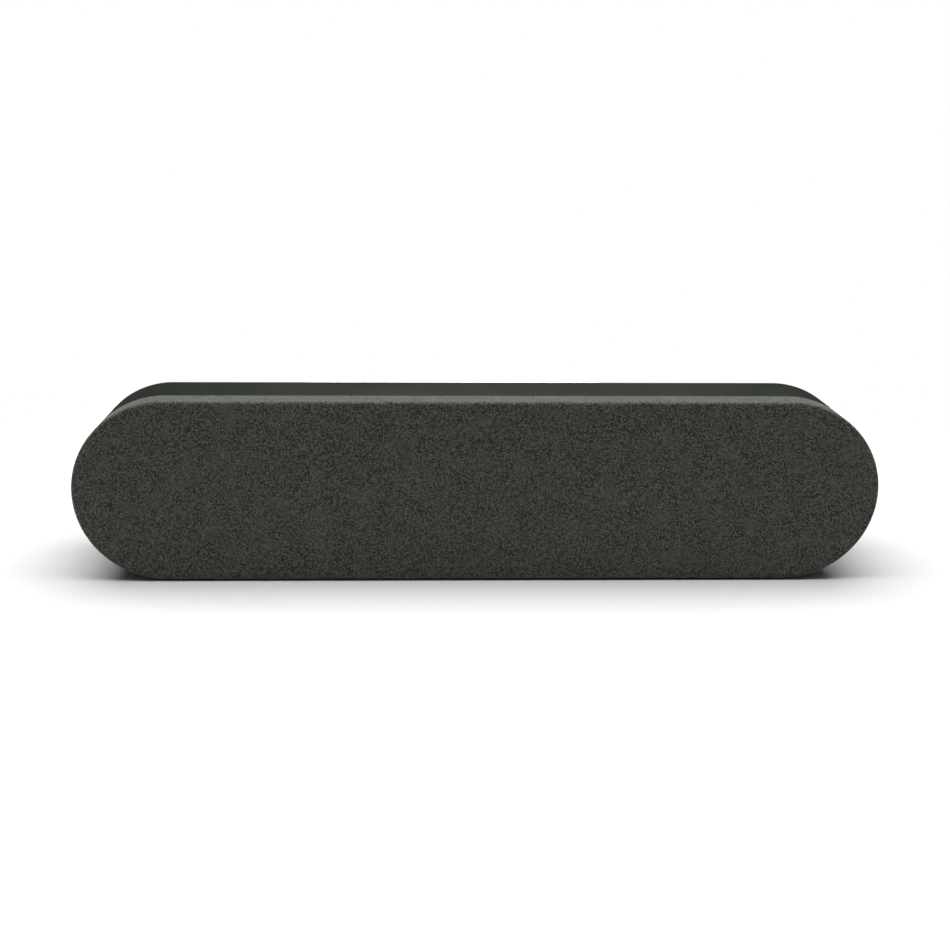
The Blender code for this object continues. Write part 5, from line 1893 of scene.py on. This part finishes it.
@dataclass(frozen=True)
class Connectors:
    """The plate in the bay with its sockets, status lens, power button and screws."""

    maker: Maker
    plate_corner: float = 4.7
    power_nose: float = 3.9
    power_bore: float = 2.8
    audio_nose: float = 3.0
    audio_bore: float = 1.8
    usb_corner: float = 1.5
    button_radius: float = 4.5
    ring_width: float = 1.0
    ring_depth: float = 0.35

    def at(self, node: str) -> Place:
        """The place of a frame node."""
        return self.maker.datum.of(node)

    def plate(self) -> Piece:
        """The plate, with a sunk ring round each opening and a hole for each socket and screw."""
        maker, place = self.maker, self.at("connector_plate")
        corner = Loop.box(place.width, place.height, self.plate_corner, 10)
        side = slab(self.plate_corner, 1.0, place.front, place.back, (0.2, 0.4))
        plate = maker.prism("connector_panel", side, corner, place.middle)
        front, past, sunk = place.front - 1.0, place.back + 1.0, place.back - self.ring_depth
        tools, circle = [], Loop(corner_steps=12)
        round_holes = (
            ("power_jack", self.power_nose),
            ("audio_jack", self.audio_nose),
            ("status_lens", self.at("status_lens").radius),
            ("power_button", self.button_radius),
        )
        usb = self.at("usb_port")
        mouth = Loop.box(usb.width, usb.height, self.usb_corner, 6)
        cuts = [(self.at(node), radius, self.ring_width, circle) for node, radius in round_holes]
        for at, radius, ring, loop in [*cuts, (usb, self.usb_corner, 0.8, mouth)]:
            opening = radius + GAP
            ledge = [[opening + ring, sunk + 0.05], [opening + ring + 0.15, past]]
            step = np.concatenate([straight(opening, front, sunk), ledge])
            tools.append(maker.prism("opening", step, loop, at.middle))
        screws = [self.at(f"plate_screw_{side}").x for side in SIDES]
        tools += [maker.bar("screw_hole", 1.5, front, past, x, 0.0) for x in screws]
        return shaped(plate, "DIFFERENCE", *tools)

    def round_socket(self, name: str, node: str, nose: float, bore: float, bore_at: float) -> Piece:
        """A round socket: a block on the board whose nose, with a flared mouth, stands in the plate."""
        place = self.at(node)
        body_back = self.at("connector_plate").front - GAP
        corner, front = 0.8, place.front
        side = rounded([(0.6, front), (corner, front, 0.1), (corner, body_back, 0.2), (0.5, body_back)])
        body = self.maker.prism(name, side, Loop.box(place.width, place.height, corner, 4), place.middle)
        ring = rounded([
            (bore, body_back - 2.0), (nose, body_back - 2.0), (nose, place.back, 0.25),
            (bore + 0.5, place.back, 0.1), (bore, place.back - 0.5, 0.1),
        ])
        loop = Loop(corner_steps=12)
        shaped(body, "UNION", self.maker.carried("nose", ring, loop, place.middle))
        hole = straight(bore, bore_at, body_back + 0.2)
        return shaped(body, "DIFFERENCE", self.maker.prism("bore", hole, loop, place.middle))

    def power_pin(self) -> Piece:
        """The power socket's pin, with a rounded tip."""
        place = self.at("power_jack")
        profile = slab(1.0, 1.0, place.back - 1.0, place.front + 3.05, (0.6, 0.0))
        return self.maker.turned("power_pin", profile, 6, place.middle)

    def contact(self) -> Piece:
        """The gilt ring just inside the audio socket's mouth."""
        place = self.at("audio_jack")
        front, back = place.back - 2.6, place.back - 0.7
        ring = np.array([[1.55, front], [1.78, front], [1.78, back], [1.55, back]])
        return self.maker.turned("audio_contact", ring, 8, place.middle)

    def usb(self) -> Piece:
        """The service port's shell: a pressed oval tube with a rolled mouth."""
        place = self.at("usb_port")
        loop = Loop.box(place.width, place.height, self.usb_corner, 6)
        wall = 0.4
        shell = rounded([
            (self.usb_corner - wall, place.front + 4.0), (self.usb_corner - wall, place.front),
            (self.usb_corner, place.front, 0.1), (self.usb_corner, place.back, 0.15),
            (self.usb_corner - wall, place.back, 0.15),
        ])
        return self.maker.carried("usb_shell", shell, loop, place.middle)

    def usb_insides(self) -> Piece:
        """The service port's tongue on its base."""
        place = self.at("usb_port")
        base = straight(0.9, place.front + 0.3, place.front + 4.0)
        outline = Loop.box(place.width, place.height, self.usb_corner, 4)
        tongue = slab(0.2, 0.1, place.front + 3.9, place.back - 1.0, (0.0, 0.1))
        parts = [
            self.maker.prism("usb_base", base, outline, place.middle),
            self.maker.prism("usb_tongue", tongue, Loop(3.1, 0.2, 3), place.middle),
        ]
        return joined("usb_tongue", parts)

    def lens(self) -> Piece:
        """The status lens: a light pipe with a domed end."""
        place = self.at("status_lens")
        turn = np.radians(np.linspace(90, 0, 8))
        dome = np.column_stack([place.radius * np.cos(turn), place.back - 0.5 + 0.5 * np.sin(turn)])
        profile = np.concatenate([dome, [[place.radius, place.front], [0.0, place.front]]])
        return self.maker.turned("lens_dome", profile, 8, place.middle)

    def button(self) -> Piece:
        """The power button: a dished cap with a raised rim, over a collar that keeps it in."""
        place = self.at("power_button")
        collar_back = self.at("connector_plate").front - GAP
        radius = self.button_radius
        profile = rounded([
            (0.0, place.back - 0.55), (radius - 1.6, place.back - 0.35, 0.6),
            (radius - 0.9, place.back, 0.3), (radius, place.back, 0.4), (radius, collar_back),
            (place.radius, collar_back, 0.2), (place.radius, place.front, 0.2), (0.0, place.front),
        ])
        return self.maker.turned("button_cap", profile, 14, place.middle)

    def switch(self) -> Piece:
        """The switch under the button: a square body with a round plunger."""
        place = self.at("button_switch")
        body_back, corner = place.front + 3.5, 0.4
        side = slab(corner, 0.2, place.front, body_back, (0.1, 0.2))
        loop = Loop.box(place.width, place.width, corner, 3)
        body = self.maker.prism("switch_body", side, loop, place.middle)
        root = place.front + 3.0
        stem = rounded([(1.2, root), (1.6, root), (1.6, place.back, 0.3), (1.0, place.back)])
        return shaped(body, "UNION", self.maker.prism("plunger", stem, Loop(corner_steps=6), place.middle))

    def build(self) -> None:
        """Makes every piece in the bay."""
        power, audio = self.at("power_jack"), self.at("audio_jack")
        dress(self.plate(), INNER, ["connector_plate"])
        nose = (self.power_nose, self.power_bore, power.front + 3.0)
        dress(self.round_socket("power_socket", "power_jack", *nose), INNER, ["power_jack"])
        dress(self.power_pin(), STEEL)
        nose = (self.audio_nose, self.audio_bore, audio.front + 2.0)
        dress(self.round_socket("audio_socket", "audio_jack", *nose), INNER, ["audio_jack"])
        dress(self.contact(), BRASS)
        dress(self.usb(), STEEL, ["usb_port"])
        dress(self.usb_insides(), INNER)
        dress(self.lens(), LENS, ["status_lens"])
        dress(self.button(), SHELL, ["power_button"], "power_button")
        dress(self.switch(), INNER, ["button_switch"])
        place_screws(self.maker, "plate_screws", [f"plate_screw_{side}" for side in SIDES], 1.2)


# ---- Wall-mount inserts ----


def build_inserts(maker: Maker, teeth: int = 24, depth: float = 0.18) -> None:
    """The threaded brass inserts: a knurled sleeve with a groove, and a threaded bore.

    The outer radius is the sleeve's minus a small cosine of the angle times the number of teeth. The bore's
    radius goes up and down along the depth by the thread's height.

    Args:
        maker: makes the meshes.
        teeth: ridges of the knurl.
        depth: how far its valleys go in.
    """
    for side in SIDES:
        place = maker.datum.of(f"wall_insert_{side}")
        bore, floor_at, pitch = 2.0, place.front + 1.6, 0.7
        turns = int((place.back - 0.4 - floor_at) / pitch * 2)
        thread_at = place.back - 0.4 - pitch / 2 * np.arange(turns)
        thread = np.column_stack([bore + 0.25 * (np.arange(turns) % 2), thread_at])
        outer = rounded([
            (0.0, place.front), (place.radius, place.front, 0.5), (place.radius, place.front + 4.5, 0.1),
            (place.radius - 0.5, place.front + 5.0, 0.1), (place.radius - 0.5, place.front + 6.4, 0.1),
            (place.radius, place.front + 6.9, 0.1), (place.radius, place.back, 0.3),
            (bore + 0.6, place.back, 0.2),
        ])
        profile = np.concatenate([outer, thread, [[bore, floor_at], [0.0, floor_at - 0.8]]])
        loop = Loop(corner_steps=teeth)
        grid = loop.carry(profile, place.middle)
        angle = loop.spine()[2][:, None]
        knurled = (profile[:, 0] > place.radius - 0.05)[None, :]
        pull = depth / 2 * (1 - np.cos(teeth * angle)) * knurled
        grid[:, :, 0] -= pull * np.cos(angle)
        grid[:, :, 2] -= pull * np.sin(angle)
        dress(maker.grid(f"insert_sleeve_{side}", grid), BRASS, [f"wall_insert_{side}"])


# ---- Studio ----


@dataclass(frozen=True)
class Softbox:
    """A large soft light."""

    name: str
    place: tuple[float, float, float]
    aim: tuple[float, float, float]
    size: Pair
    watts: float

    def build(self) -> None:
        """Makes the light, turned towards its aim."""
        light = bpy.data.lights.new(self.name, "AREA")
        light.shape = "RECTANGLE"
        light.size, light.size_y = self.size
        light.energy = self.watts
        obj = in_scene(self.name, light)
        obj.location = self.place
        obj.rotation_euler = (Vector(self.aim) - Vector(self.place)).to_track_quat("-Z", "Y").to_euler()


@dataclass(frozen=True)
class Studio:
    """A pale floor, soft lights from above and from the front, and the camera."""

    eye: tuple[float, float, float] = (-0.05093, -1.15265, 0.41641)
    aim: tuple[float, float, float] = (-0.0018, -0.0400, 0.0625)
    roll: float = 0.0132
    lens: float = 80.0
    softboxes: Sequence[Softbox] = (
        Softbox("overhead", (0.0, 0.1, 1.3), (0.0, 0.0, 0.05), (2.2, 1.2), 47.0),
        Softbox("front_fill", (-0.2, -0.8, 0.75), (0.0, 0.0, 0.08), (1.0, 0.4), 0.3),
        Softbox("rear_gloss", (0.1, 1.6, 0.75), (0.0, 0.0, 0.1), (0.7, 0.5), 0.68),
    )
    floor_at: float = -0.1
    floor_radius: float = 0.5
    floor_grey: float = 0.6
    rim_grey: float = 0.92
    surround_grey: float = 0.08

    def build(self) -> None:
        """Makes everything that isn't the bar."""
        scene = bpy.context.scene
        scene.view_settings.view_transform = "Standard"
        for softbox in self.softboxes:
            softbox.build()
        self.make_world()
        self.make_floor()
        camera = bpy.data.cameras.new("camera")
        camera.lens = self.lens
        obj = in_scene("camera", camera)
        obj.location = self.eye
        turn = (Vector(self.aim) - Vector(self.eye)).to_track_quat("-Z", "Y").to_matrix().to_4x4()
        obj.rotation_euler = (turn @ Matrix.Rotation(self.roll, 4, "Z")).to_euler()
        scene.camera = obj

    def make_world(self) -> None:
        """A surround that looks white and gives a dim, even light."""
        world = bpy.data.worlds.new("surround")
        world.use_nodes = True
        bpy.context.scene.world = world
        wiring = Wiring(world.node_tree)
        seen = wiring.node("LightPath").outputs["Is Camera Ray"]
        level = wiring.math("MULTIPLY_ADD", seen, 1.0 - self.surround_grey, self.surround_grey)
        wiring.feed(wiring.tree.nodes["Background"].inputs["Strength"], level)
        wiring.tree.nodes["Background"].inputs["Color"].default_value = (1.0, 1.0, 1.0, 1.0)

    def make_floor(self) -> None:
        """A round pale floor at height 0, paler towards its rim."""
        angle = np.linspace(0, 2 * np.pi, 96, endpoint=False)
        rim = self.floor_radius * np.column_stack([np.cos(angle), np.sin(angle), np.zeros_like(angle)])
        mesh = bpy.data.meshes.new("floor")
        mesh.from_pydata(rim, [], [list(range(len(rim)))])
        floor = in_scene("floor", mesh)
        floor.location.y = self.floor_at
        material, wiring, shader, place = new_material("floor")
        distance = wiring.node("VectorMath", {0: place}, operation="LENGTH").outputs["Value"]
        out = wiring.ramp(distance, self.floor_radius * 0.55, self.floor_radius * 0.95)
        tone = wiring.math("MULTIPLY_ADD", wiring.noise(place, 0.2, detail=3.0), 0.08, out)
        colour = wiring.mix(tone, (self.floor_grey,) * 3, (self.rim_grey,) * 3)
        wiring.feed(shader.inputs["Base Color"], colour)
        shader.inputs["Roughness"].default_value = 0.9
        shader.inputs["Specular IOR Level"].default_value = 0.1
        mesh.materials.append(material)


# ---- Assembly ----


def main() -> None:
    """Loads the frame, builds the bar's sub-assemblies round it and sets up the studio."""
    logging.basicConfig(level=logging.INFO, format="%(name)s: %(message)s")
    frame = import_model()
    datum = Datum.from_frame()
    maker = Maker(datum)
    outline = Outline.from_frame(datum)
    feet = {f"foot_{side}": Foot(outline, datum.of(f"foot_{side}")) for side in SIDES}

    Studio().build()
    FrontCover(maker, outline).build()
    housing = Housing(maker, outline, Bay(), list(feet.values()))
    housing.build()
    for node, foot in feet.items():
        foot.build(maker, node)
    build_inserts(maker)
    Baffle(maker, outline, housing.boss_places).build()
    place_screws(maker, "baffle_screws", [f"baffle_screw_{i}" for i in range(1, 7)], 1.5)
    for side in SIDES:
        Driver(maker, side).build()
        nodes = [f"driver_screw_{side}_{i}" for i in range(1, 5)]
        place_screws(maker, f"driver_screws_{side}", nodes, 1.5)
    Radiator(maker).build()
    Electronics(maker).build()
    Connectors(maker).build()

    LOG.info("%d nodes in the frame, size written", len(frame["nodes"]))


if __name__ == "__main__":
    main()
